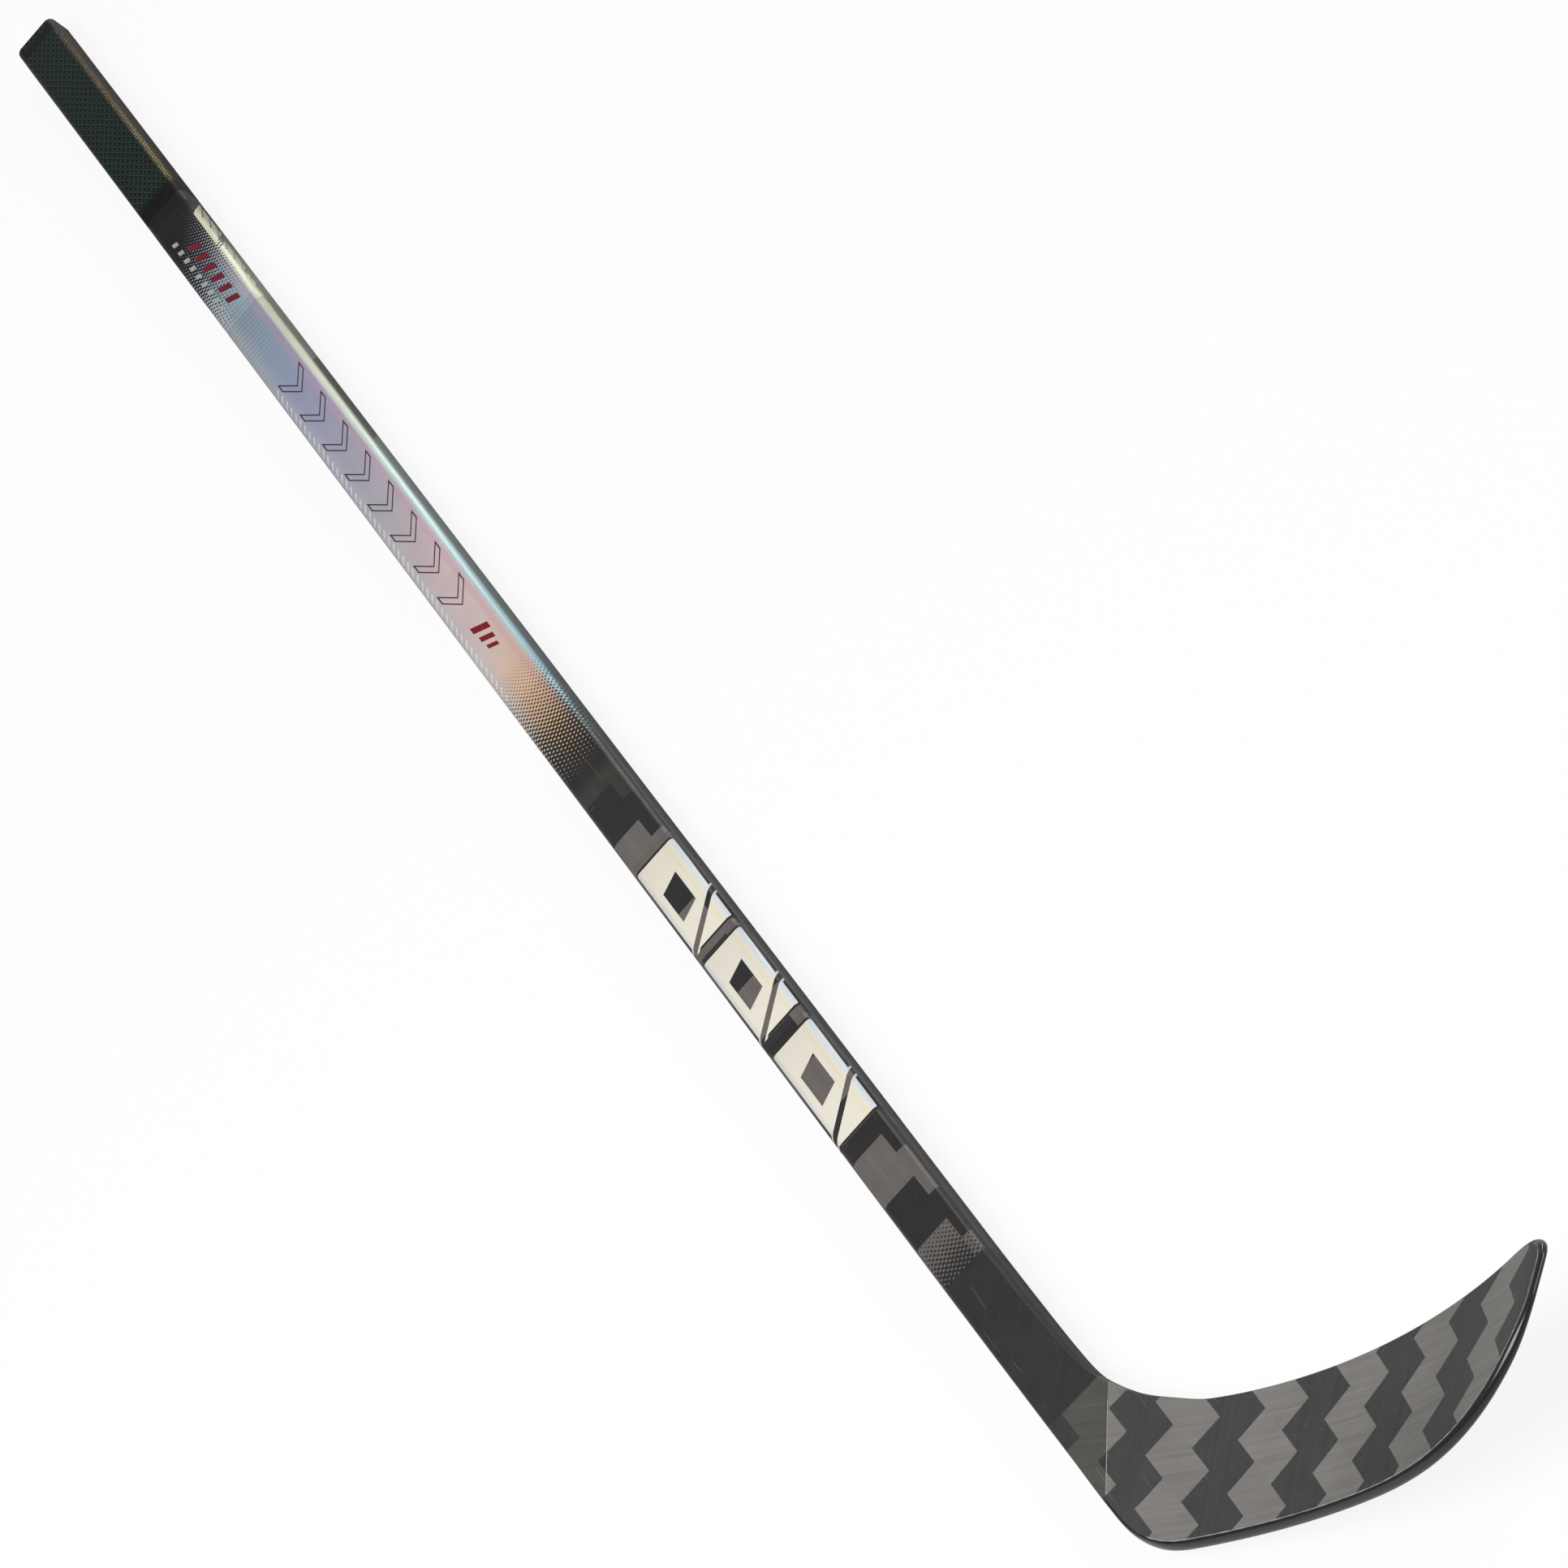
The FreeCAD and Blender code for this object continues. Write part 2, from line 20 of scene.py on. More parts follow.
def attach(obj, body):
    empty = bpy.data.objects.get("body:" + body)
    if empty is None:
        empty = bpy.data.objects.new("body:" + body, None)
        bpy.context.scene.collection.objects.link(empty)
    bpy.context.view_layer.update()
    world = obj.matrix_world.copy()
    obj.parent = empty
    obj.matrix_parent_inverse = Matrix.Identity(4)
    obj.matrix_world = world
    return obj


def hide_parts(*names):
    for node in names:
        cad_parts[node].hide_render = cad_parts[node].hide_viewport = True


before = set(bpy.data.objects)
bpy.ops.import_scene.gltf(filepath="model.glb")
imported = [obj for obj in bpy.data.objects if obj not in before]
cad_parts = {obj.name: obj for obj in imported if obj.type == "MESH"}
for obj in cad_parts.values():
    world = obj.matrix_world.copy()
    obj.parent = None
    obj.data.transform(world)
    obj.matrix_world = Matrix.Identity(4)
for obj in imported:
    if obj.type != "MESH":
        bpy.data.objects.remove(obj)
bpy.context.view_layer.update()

LOG = logging.getLogger("hockey_stick")
MM = 0.001
Colour = tuple[float, float, float, float]
Value = "Wire | float"


def paint(red: int, green: int, blue: int) -> Colour:
    """Turns a paint-chart colour into the linear one that shaders use.

    Args:
        red: Red, 0 to 255.
        green: Green, 0 to 255.
        blue: Blue, 0 to 255.

    Returns:
        The linear colour, with an alpha of 1.
    """

    def part(value: int) -> float:
        """One channel, linear."""
        share = value / 255
        return share / 12.92 if share <= 0.04045 else ((share + 0.055) / 1.055) ** 2.4

    return (part(red), part(green), part(blue), 1.0)


# ---------------------------------------------------------------------------------------------
# Writing shader nodes
# ---------------------------------------------------------------------------------------------


class Wire:
    """A value in a shader tree, which plain arithmetic turns into more nodes."""

    def __init__(self, net: "Net", socket: bpy.types.NodeSocket) -> None:
        """Keeps the tree and the socket that gives the value."""
        self.net = net
        self.socket = socket

    def math(self, operation: str, *others: Value) -> "Wire":
        """Adds a Math node.

        Args:
            operation: The Math node's operation.
            others: The further inputs, wires or plain numbers.

        Returns:
            The result.
        """
        made = self.net.node("ShaderNodeMath", operation=operation)
        for socket, value in zip(made.inputs, (self, *others)):
            self.net.feed(socket, value)
        return Wire(self.net, made.outputs[0])

    def __add__(self, other: Value) -> "Wire":
        """Sum."""
        return self.math("ADD", other)

    def __sub__(self, other: Value) -> "Wire":
        """Difference."""
        return self.math("SUBTRACT", other)

    def __mul__(self, other: Value) -> "Wire":
        """Product."""
        return self.math("MULTIPLY", other)

    def __truediv__(self, other: Value) -> "Wire":
        """Quotient."""
        return self.math("DIVIDE", other)

    def __rsub__(self, other: float) -> "Wire":
        """A number less this value."""
        return self * -1.0 + other

    __radd__ = __add__
    __rmul__ = __mul__

    def cos(self) -> "Wire":
        """Cosine of an angle in radians."""
        return self.math("COSINE")

    def size(self) -> "Wire":
        """Absolute value."""
        return self.math("ABSOLUTE")

    def floor(self) -> "Wire":
        """Whole part."""
        return self.math("FLOOR")

    def part(self) -> "Wire":
        """Part after the point."""
        return self.math("FRACT")

    def least(self, other: Value) -> "Wire":
        """Smaller of two values."""
        return self.math("MINIMUM", other)

    def most(self, other: Value) -> "Wire":
        """Larger of two values."""
        return self.math("MAXIMUM", other)

    def rise(self, low: Value, high: Value) -> "Wire":
        """Goes smoothly from 0 at low to 1 at high, or from 1 to 0 where low is the larger.

        Args:
            low: Where the rise starts.
            high: Where it ends.

        Returns:
            The smooth step.
        """
        made = self.net.node("ShaderNodeMapRange", interpolation_type="SMOOTHSTEP")
        for name, value in (("Value", self), ("From Min", low), ("From Max", high)):
            self.net.feed(made.inputs[name], value)
        return Wire(self.net, made.outputs["Result"])

    def within(self, low: float, high: float, soft: float) -> "Wire":
        """Is 1 between low and high, and 0 outside.

        Args:
            low: Lower edge.
            high: Upper edge.
            soft: Width of the soft edge.

        Returns:
            The mask.
        """
        return self.rise(low - soft, low + soft) * self.rise(high + soft, high - soft)


class Net:
    """Writes nodes into one shader tree."""

    def __init__(self, tree: bpy.types.NodeTree) -> None:
        """Keeps the tree."""
        self.tree = tree

    def feed(self, socket: bpy.types.NodeSocket, value: object) -> None:
        """Links a wire to a socket, or sets the socket's own value.

        Args:
            socket: The input.
            value: A wire, a number, a colour or a vector.
        """
        if isinstance(value, Wire):
            self.tree.links.new(value.socket, socket)
        else:
            socket.default_value = value

    def node(self, kind: str, feeds: dict[str, object] | None = None, **settings: object) -> bpy.types.Node:
        """Adds a node.

        Args:
            kind: Blender's name for the node's type.
            feeds: What goes into its sockets, by name.
            settings: The node's own settings.

        Returns:
            The node.
        """
        made = self.tree.nodes.new(kind)
        for name, value in settings.items():
            setattr(made, name, value)
        for name, value in (feeds or {}).items():
            self.feed(made.inputs[name], value)
        return made

    def point(self, x: Value, y: Value, z: Value = 0.0) -> Wire:
        """Joins three values into a vector.

        Args:
            x: First part.
            y: Second part.
            z: Third part.

        Returns:
            The vector.
        """
        made = self.node("ShaderNodeCombineXYZ", {"X": x, "Y": y, "Z": z})
        return Wire(self, made.outputs[0])

    def noise(self, place: Wire, scale: float, detail: float = 3.0, rough: float = 0.55) -> Wire:
        """Adds a noise texture.

        Args:
            place: Where it is read.
            scale: Its scale, per unit of place.
            detail: Octaves.
            rough: How strong the finer octaves are.

        Returns:
            The noise, about 0.5.
        """
        feeds = {"Vector": place, "Scale": scale, "Detail": detail, "Roughness": rough}
        return Wire(self, self.node("ShaderNodeTexNoise", feeds).outputs["Fac"])

    def mix(self, share: Value, first: object, second: object) -> Wire:
        """Mixes two colours.

        Args:
            share: How much of the second.
            first: First colour.
            second: Second colour.

        Returns:
            The mixed colour.
        """
        made = self.node("ShaderNodeMix", data_type="RGBA")
        self.feed(made.inputs[0], share)
        self.feed(made.inputs[6], first)
        self.feed(made.inputs[7], second)
        return Wire(self, made.outputs[2])

    def tone(self, colour: object, level: Value) -> Wire:
        """Makes a colour lighter or darker all over.

        Args:
            colour: The colour.
            level: What its channels are multiplied by.

        Returns:
            The new colour.
        """
        made = self.node("ShaderNodeMix", data_type="RGBA", blend_type="MULTIPLY")
        grey = self.node("ShaderNodeCombineColor", {"Red": level, "Green": level, "Blue": level})
        self.feed(made.inputs[0], 1.0)
        self.feed(made.inputs[6], colour)
        self.feed(made.inputs[7], Wire(self, grey.outputs[0]))
        return Wire(self, made.outputs[2])

    def ramp(self, share: Wire, stops: list[tuple[float, Colour]]) -> Wire:
        """Adds a colour ramp.

        Args:
            share: Where it is read, 0 to 1.
            stops: Place and colour of each stop, in order.

        Returns:
            The colour.
        """
        made = self.node("ShaderNodeValToRGB", {"Fac": share})
        band = made.color_ramp
        while len(band.elements) < len(stops):
            band.elements.new(1.0)
        for element, (place, colour) in zip(band.elements, stops):
            element.position = place
            element.color = colour
        return Wire(self, made.outputs["Color"])

    def relief(self, height: Wire, depth: float) -> Wire:
        """Adds a bump.

        Args:
            height: The height, 0 to 1.
            depth: What a height of 1 stands for, in metres.

        Returns:
            The new normal.
        """
        made = self.node("ShaderNodeBump", {"Height": height, "Distance": depth, "Strength": 1.0})
        return Wire(self, made.outputs["Normal"])


class Effect:
    """A shader node group that several finishes share, built the first time it is placed."""

    name: str = ""
    inputs: dict[str, float] = {}
    outputs: dict[str, str] = {}

    def build(self, net: Net, given: dict[str, Wire]) -> dict[str, Wire]:
        """Writes the group's nodes.

        Args:
            net: The group's tree.
            given: The group's inputs.

        Returns:
            The group's outputs by name.
        """
        raise NotImplementedError

    def tree(self) -> bpy.types.NodeTree:
        """Gives the group, which is built only once."""
        known = bpy.data.node_groups.get(self.name)
        if known is not None:
            return known
        tree = bpy.data.node_groups.new(self.name, "ShaderNodeTree")
        for name, start in self.inputs.items():
            kind = "NodeSocketVector" if name == "Place" else "NodeSocketFloat"
            socket = tree.interface.new_socket(name, in_out="INPUT", socket_type=kind)
            if name != "Place":
                socket.default_value = start
        for name, kind in self.outputs.items():
            tree.interface.new_socket(name, in_out="OUTPUT", socket_type=f"NodeSocket{kind}")
        net = Net(tree)
        entry = net.node("NodeGroupInput")
        made = self.build(net, {name: Wire(net, entry.outputs[name]) for name in self.inputs})
        net.node("NodeGroupOutput", made)
        return tree

    def place(self, net: Net, **feeds: Value) -> dict[str, Wire]:
        """Places the group in a material.

        Args:
            net: The material's tree.
            feeds: What goes into its inputs, by name.

        Returns:
            Its outputs by name.
        """
        made = net.node("ShaderNodeGroup", node_tree=self.tree())
        for name, value in feeds.items():
            net.feed(made.inputs[name], value)
        return {name: Wire(net, made.outputs[name]) for name in self.outputs}


class Wear(Effect):
    """Handling marks: cloudy tone, dust specks and hair scratches."""

    name = "wear"
    inputs = {"Place": 0.0, "Dust": 0.3, "Scratches": 0.3}
    outputs = {"Tone": "Float", "Marks": "Float", "Height": "Float"}

    def build(self, net: Net, given: dict[str, Wire]) -> dict[str, Wire]:
        """Clouds, specks and two sets of scratches from noise at rising scales."""
        place = given["Place"]
        clouds = net.noise(place, 9.0, 4.0) * 0.6 + net.noise(place, 70.0, 3.0) * 0.4
        specks = net.noise(place, 900.0, 1.0).rise(0.74, 0.8) * given["Dust"]
        warp = net.noise(place, 25.0, 1.0)
        split = net.node("ShaderNodeSeparateXYZ", {"Vector": place})
        x, y, z = (Wire(net, socket) for socket in split.outputs)
        long_way = net.noise(net.point(x * 18.0 + warp, y * 900.0 + warp * 3.0, z * 900.0), 1.0, 1.0)
        slant = net.point(x * 300.0 + warp * 9.0, (y - z) * 90.0 - x * 120.0, z * 20.0)
        cross_way = net.noise(slant, 1.0, 1.0)
        hairs = (long_way.rise(0.735, 0.76) + cross_way.rise(0.77, 0.79)) * given["Scratches"]
        marks = (specks + hairs).least(1.0)
        return {"Tone": clouds.rise(0.3, 0.7), "Marks": marks, "Height": 0.5 - marks * 0.5}


class Tow(Effect):
    """Straight carbon fibre tows: fine streaks along the fibre and faint steps from tow to tow."""

    name = "tow"
    inputs = {"Along": 0.0, "Across": 0.0, "Width": 3.0}
    outputs = {"Streak": "Float", "Height": "Float"}

    def build(self, net: Net, given: dict[str, Wire]) -> dict[str, Wire]:
        """Stretched noise at three widths, and one value for each tow."""
        along, across = given["Along"], given["Across"]
        fine = net.noise(net.point(along * 0.02, across * 3.2), 1.0, 2.0)
        broad = net.noise(net.point(along * 0.006, across * 0.7), 1.0, 2.0)
        tow = (across / given["Width"]).floor()
        shade = net.noise(net.point(tow * 7.31, 0.5), 1.0, 0.0)
        gap = ((across / given["Width"]).part() - 0.5).size().rise(0.47, 0.5)
        streak = (fine * 0.5 + broad * 0.25 + shade * 0.25).rise(0.32, 0.68)
        return {"Streak": streak, "Height": fine * 0.6 + broad * 0.4 - gap * 0.3}


class SteppedPlies(Effect):
    """Bands of fabric laid side by side with staircase edges, each row shifted from the last."""

    name = "stepped_plies"
    inputs = {
        "Along": 0.0, "Across": 0.0, "First": 0.0, "Period": 73.8, "Row": 19.1, "Shift": 18.2, "Base": 0.0
    }
    outputs = {"Mask": "Float", "Edge": "Float", "Ply": "Float"}

    def build(self, net: Net, given: dict[str, Wire]) -> dict[str, Wire]:
        """Counts rows across and bands along, then marks every second band and the cut edges."""
        row = ((given["Across"] - given["Base"]) / given["Row"]).floor()
        run = (given["Along"] + row * given["Shift"] - given["First"]) / given["Period"]
        share = run.part()
        mask = share.rise(0.0, 0.004) * share.rise(0.504, 0.5)
        step_cut = ((run * 2.0).part() - 0.5).size().rise(0.485, 0.5)
        row_cut = (((given["Across"] - given["Base"]) / given["Row"]).part() - 0.5).size().rise(0.492, 0.5)
        ply = net.noise(net.point((run * 2.0).floor() * 3.7, row * 5.3), 1.0, 0.0)
        return {"Mask": mask, "Edge": step_cut.most(row_cut * 0.6), "Ply": ply}


class Halftone(Effect):
    """Round dots in staggered rows, on rings about a far centre."""

    name = "halftone"
    inputs = {
        "Along": 0.0, "Across": 0.0, "Centre": 0.0, "Rise": 0.0, "Reach": 60.0, "Pitch": 2.2, "Fill": 0.5
    }
    outputs = {"Dots": "Float"}

    def build(self, net: Net, given: dict[str, Wire]) -> dict[str, Wire]:
        """Cosines of the radius and of the way round give the lattice, and the fill sets the dot."""
        dx = given["Along"] - given["Centre"]
        dy = given["Across"] - given["Rise"]
        radius = (dx * dx + dy * dy).math("SQRT")
        turn = dy.math("ARCTAN2", dx) * given["Reach"]
        step = given["Pitch"] * math.sqrt(0.5)
        rings = (radius / step * math.pi).cos()
        spokes = (turn / step * math.pi).cos()
        edge = 1.0 - given["Fill"]
        height = rings * spokes * 0.5 + 0.5
        return {"Dots": height.rise(edge - 0.08, edge + 0.08)}


class Curl(Effect):
    """Three-armed curls in a triangular lattice, as embossed in grip film."""

    name = "curl"
    inputs = {"Along": 0.0, "Across": 0.0, "Pitch": 4.2}
    outputs = {"Mask": "Float"}

    def build(self, net: Net, given: dict[str, Wire]) -> dict[str, Wire]:
        """Adds three waves at thirds of a turn, bent a little so that the arms curl."""
        turn = math.tau / (self.inputs["Pitch"] * math.sqrt(3) / 2)
        bend = (given["Across"] * turn * 0.5).cos() * 0.28
        along = (given["Along"] + bend) * turn
        rise = given["Across"] * turn * (math.sqrt(3) / 2)
        waves = along.math("SINE") + (rise - along * 0.5).math("SINE") - (rise + along * 0.5).math("SINE")
        return {"Mask": waves.within(0.15, 1.25, 0.3)}


class IridescenceWithPaintedLight(Effect):
    """Colour drift of metallised foil along the shaft, with a painted highlight on its inner ridge and painted
    shade on the side beyond it.
    """

    name = "iridescence_with_painted_light"
    inputs = {"Along": 0.0, "Across": 0.0}
    outputs = {"Color": "Color"}

    def build(self, net: Net, given: dict[str, Wire]) -> dict[str, Wire]:
        """One ramp along, with a pink line, a pale painted highlight on the ridge and a grey-green painted
        shade on the side laid over it.
        """
        along, across = given["Along"], given["Across"]
        drift = net.noise(net.point(along * 0.012, across * 0.05), 1.0, 2.0) - 0.5
        share = (along + across * 1.6 + drift * 40.0 + 420.0) / 540.0
        stops = [
            (0.00, paint(150, 168, 176)),
            (0.10, paint(156, 172, 192)),
            (0.22, paint(168, 168, 196)),
            (0.32, paint(176, 172, 190)),
            (0.44, paint(190, 184, 190)),
            (0.56, paint(212, 190, 192)),
            (0.70, paint(222, 200, 192)),
            (0.80, paint(224, 190, 158)),
            (0.92, paint(222, 182, 134)),
            (1.00, paint(205, 170, 135)),
        ]
        body = net.ramp(share, stops)
        outer = net.mix(across.rise(-3.0, -13.0) * 0.55, body, paint(196, 197, 200))
        line = net.mix(across.within(7.0, 10.0, 1.6) * 0.45, outer, paint(212, 168, 186))
        way = (along + 420.0) / 540.0
        # Pale cream to cyan on the rounded inner ridge: a painted highlight, the lamps' shine baked into the
        # colour.
        ridge_highlight_stops = [
            (0.2, paint(238, 240, 214)),
            (0.45, paint(205, 228, 226)),
            (0.8, paint(176, 208, 216)),
            (0.95, paint(120, 150, 158)),
        ]
        ridge = net.ramp(way, ridge_highlight_stops)
        pale = net.mix(across.rise(10.0, 12.5), line, ridge)
        # Grey-green on the narrow side face: painted shade, the ridge's colour darkened where less light
        # falls.
        side_stops = [(0.1, paint(160, 164, 146)), (0.45, paint(136, 148, 142)), (0.75, paint(98, 108, 108))]
        side = net.ramp(way, side_stops)
        return {"Color": net.mix(across.rise(14.5, 17.5), pale, side)}


class FoilPrint(Effect):
    """Printed foil of the upper shaft: iridescent ground with a painted ridge highlight and painted side
    shade, halftone, contours and cream shapes.
    """

    name = "foil_print"
    inputs = {"Along": 0.0, "Across": 0.0}
    outputs = {"Color": "Color", "Foil": "Float", "Height": "Float"}

    def build(self, net: Net, given: dict[str, Wire]) -> dict[str, Wire]:
        """Foil shows through a screen of dots at both ends; the side and ridge are drawn over it."""
        along, across = given["Along"], given["Across"]
        butt_fill = ((along + 516.0) / 92.0 + (across - 12.0) * 0.014).least(1.2)
        heel_fill = ((96.0 - along) / 106.0).least(1.2)
        butt_end = Halftone().place(
            net, Along=along, Across=across, Centre=-700.0, Rise=14.0, Reach=190.0, Pitch=2.1,
            Fill=butt_fill
        )
        heel_end = Halftone().place(
            net, Along=along, Across=across, Centre=-90.0, Rise=2.0, Reach=120.0, Pitch=2.3, Fill=heel_fill
        )
        past = along.rise(-251.0, -249.0)
        foil = butt_end["Dots"] * (1.0 - past) + heel_end["Dots"] * past
        # The foil ground carries the painted ridge highlight and the painted shade on the side.
        ground = IridescenceWithPaintedLight().place(net, Along=along, Across=across)["Color"]
        from_eye = net.point(along + 545.0, (across - 3.0) * 1.2)
        reach = Wire(net, net.node("ShaderNodeVectorMath", {0: from_eye}, operation="LENGTH").outputs["Value"])
        rings = (reach * (math.tau / 3.5)).cos() * along.rise(-335.0, -375.0) * across.rise(11.0, 2.0)
        fibres = net.noise(net.point(along * 0.05, across * 2.4), 1.0, 2.0) - 0.5
        ground = net.tone(ground, rings * 0.15 + fibres * 0.12 + 1.0)
        side = across.rise(15.5, 18.0)
        ripple = net.noise(net.point(along * 0.03, across * 0.1), 1.0, 1.0) * 9.0
        contour = ((across * 0.8 + ripple + along * 0.02) / 1.5).part().within(0.0, 0.32, 0.06)
        ground = net.tone(ground, 1.0 - contour * side * 0.32)
        slanted = along + (across - 23.0) * 1.3
        panel = slanted.within(-337.0, -245.0, 0.4) * side
        weave = net.noise(net.point(along * 0.9, across * 1.4), 1.0, 2.0).rise(0.35, 0.7)
        ground = net.mix(panel * 0.86, ground, net.mix(weave, paint(48, 46, 38), paint(86, 82, 66)))
        tick = ((along + (across + 11.5) * 1.6) / 7.0).part().rise(0.34, 0.26)
        ticks = tick * across.within(-13.2, -10.2, 0.15) * along.within(-330.0, 10.0, 0.5)
        ground = net.mix(ticks * 0.85, ground, paint(238, 240, 240))
        ink = net.mix(past, paint(17, 16, 15), paint(30, 29, 27))
        ink = net.mix(side, ink, paint(44, 43, 39))
        printed = net.mix(foil, ink, ground)
        swoosh = along + (across - 12.3) * 1.5
        shapes = (
            swoosh.within(-507.0, -470.0, 0.3) * across.rise(25.0, 24.4)
            + swoosh.within(-463.0, -430.0, 0.3) * across.rise(22.0, 21.4)
            + swoosh.within(-425.0, -412.0, 0.3) * across.rise(19.0, 18.4)
            + swoosh.within(-408.0, -399.0, 0.3) * across.rise(17.5, 17.0)
            + swoosh.within(-394.0, -383.0, 0.3) * across.rise(16.5, 16.0)
        )
        notch = ((along + across * 2.2) / 13.0).part().within(0.0, 0.16, 0.02) * across.rise(15.0, 15.6)
        cream = (shapes * (1.0 - notch)).least(1.0) * across.rise(12.0, 12.5)
        printed = net.mix(cream, printed, paint(236, 233, 204))
        shown = foil.most(cream)
        return {"Color": printed, "Foil": shown, "Height": shown * 0.6 + rings * 0.12 + fibres * 0.2}


class PlyPrint(Effect):
    """Printed carbon of the lower shaft: hatching, stepped grey panels and a perforated last panel."""

    name = "ply_print"
    inputs = {"Along": 0.0, "Across": 0.0}
    outputs = {"Color": "Color", "Height": "Float"}

    def build(self, net: Net, given: dict[str, Wire]) -> dict[str, Wire]:
        """The panels' edges jump where the step line is crossed, which drifts a little outward."""
        along, across = given["Along"], given["Across"]
        step_line = (along - 119.0) * 0.0068 + 5.2
        run = along - across.rise(step_line - 0.12, step_line + 0.12) * 17.0
        share = ((run - 155.5) / 73.8).part()
        grey = share.rise(0.0, 0.004) * share.rise(0.504, 0.5) * run.within(150.0, 489.5, 0.2)
        holes = Halftone().place(
            net, Along=along, Across=across, Centre=300.0, Rise=2.0, Reach=240.0, Pitch=2.4,
            Fill=(568.0 - run) / 52.0
        )
        last = run.within(524.5, 561.2, 0.2) * holes["Dots"]
        face = across.size().rise(15.0, 13.6)
        panels = (grey + last).least(1.0) * face
        lines = (across / 1.2).part().within(0.0, 0.3, 0.12)
        hatch = lines * along.rise(98.0, 112.0) * run.rise(119.2, 119.0) * face
        tow = Tow().place(net, Along=along, Across=across, Width=3.1)
        ink = net.mix(face, paint(46, 44, 41), paint(36, 36, 34))
        ground = net.mix(panels, ink, paint(102, 95, 90))
        ground = net.mix(hatch, ground, paint(82, 80, 72))
        edge_line = across.within(16.6, 17.3, 0.15) * along.within(60.0, 450.0, 4.0)
        ground = net.mix(edge_line * 0.8, ground, paint(112, 112, 106))
        ground = net.tone(ground, tow["Streak"] * 0.24 + 0.88)
        return {"Color": ground, "Height": tow["Height"] * 0.5 + panels * 0.35 + hatch * 0.4}


class FabricPrint(Effect):
    """Carbon fabric of the hosel and blade: staircase plies, fine diagonal tows and wrinkles."""

    name = "fabric_print"
    inputs = {"Along": 0.0, "Across": 0.0, "Blade": 0.0}
    outputs = {"Color": "Color", "Height": "Float"}

    def build(self, net: Net, given: dict[str, Wire]) -> dict[str, Wire]:
        """Light and dark plies differ in tone and in the lie of their tows."""
        along, across, blade = given["Along"], given["Across"], given["Blade"]
        plies = SteppedPlies().place(net, Along=along, Across=across, First=668.2, Base=-5.3)
        light = plies["Mask"] * along.rise(667.9, 668.3)
        first = Tow().place(net, Along=across + along, Across=across - along, Width=2.6)
        second = Tow().place(net, Along=across - along, Across=across + along, Width=2.6)
        streak = second["Streak"] + (first["Streak"] - second["Streak"]) * light
        dark_tone = net.mix(blade, paint(47, 47, 46), paint(58, 58, 57))
        light_tone = net.mix(blade, paint(74, 72, 68), paint(120, 117, 112))
        above = along.rise(668.3, 667.9)
        ground = net.mix(light, net.mix(above, dark_tone, paint(38, 38, 36)), light_tone)
        patch = net.noise(net.point(along * 0.02, across * 0.03), 1.0, 3.0) - 0.5
        level = streak * 0.3 + plies["Ply"] * 0.16 + patch * 0.2 + 0.78
        toe = 1.0 - along.rise(800.0, 905.0) * 0.2
        ground = net.tone(ground, level * (1.0 - plies["Edge"] * 0.22) * toe)
        wrinkle = net.noise(net.point((along + across) * 0.05, (across - along) * 0.16), 1.0, 2.0)
        height = streak * 0.35 + light * 0.3 + wrinkle * 0.5 - plies["Edge"] * 0.2
        return {"Color": ground, "Height": height}


# ---------------------------------------------------------------------------------------------
# Finishes
# ---------------------------------------------------------------------------------------------


@dataclass(frozen=True)
class Finish:
    """How a surface looks; its material is written the first time it is asked for."""

    name: str = "finish"
    specular: float = 0.5
    coat_rough: float = 0.12

    def write(self, net: Net) -> dict[str, object]:
        """Writes the nodes and gives what goes into the shader's sockets.

        Args:
            net: The material's tree.

        Returns:
            Values for the Principled shader, by socket.
        """
        raise NotImplementedError

    def art(self, net: Net) -> tuple[Wire, Wire]:
        """Gives the place in the artwork, along and across, in millimetres."""
        layout = net.node("ShaderNodeUVMap", uv_map="art")
        split = net.node("ShaderNodeSeparateXYZ", {"Vector": Wire(net, layout.outputs[0])})
        return Wire(net, split.outputs[0]) * 1000.0, Wire(net, split.outputs[1]) * 1000.0

    def worn(self, net: Net, dust: float, scratches: float) -> dict[str, Wire]:
        """Places handling marks in the piece's own space.

        Args:
            net: The material's tree.
            dust: How strong the specks are.
            scratches: How strong the scratches are.

        Returns:
            The marks' outputs.
        """
        place = Wire(net, net.node("ShaderNodeTexCoord").outputs["Object"])
        return Wear().place(net, Place=place, Dust=dust, Scratches=scratches)

    def material(self) -> bpy.types.Material:
        """Gives the finish's material, written once."""
        known = bpy.data.materials.get(f"{self.name}_look")
        if known is not None:
            return known
        made = bpy.data.materials.new(f"{self.name}_look")
        made.use_nodes = True
        made.node_tree.nodes.clear()
        net = Net(made.node_tree)
        shader = net.node("ShaderNodeBsdfPrincipled", self.write(net))
        shader.inputs["Specular IOR Level"].default_value = self.specular
        shader.inputs["Coat Roughness"].default_value = self.coat_rough
        net.node("ShaderNodeOutputMaterial", {"Surface": Wire(net, shader.outputs[0])})
        return made


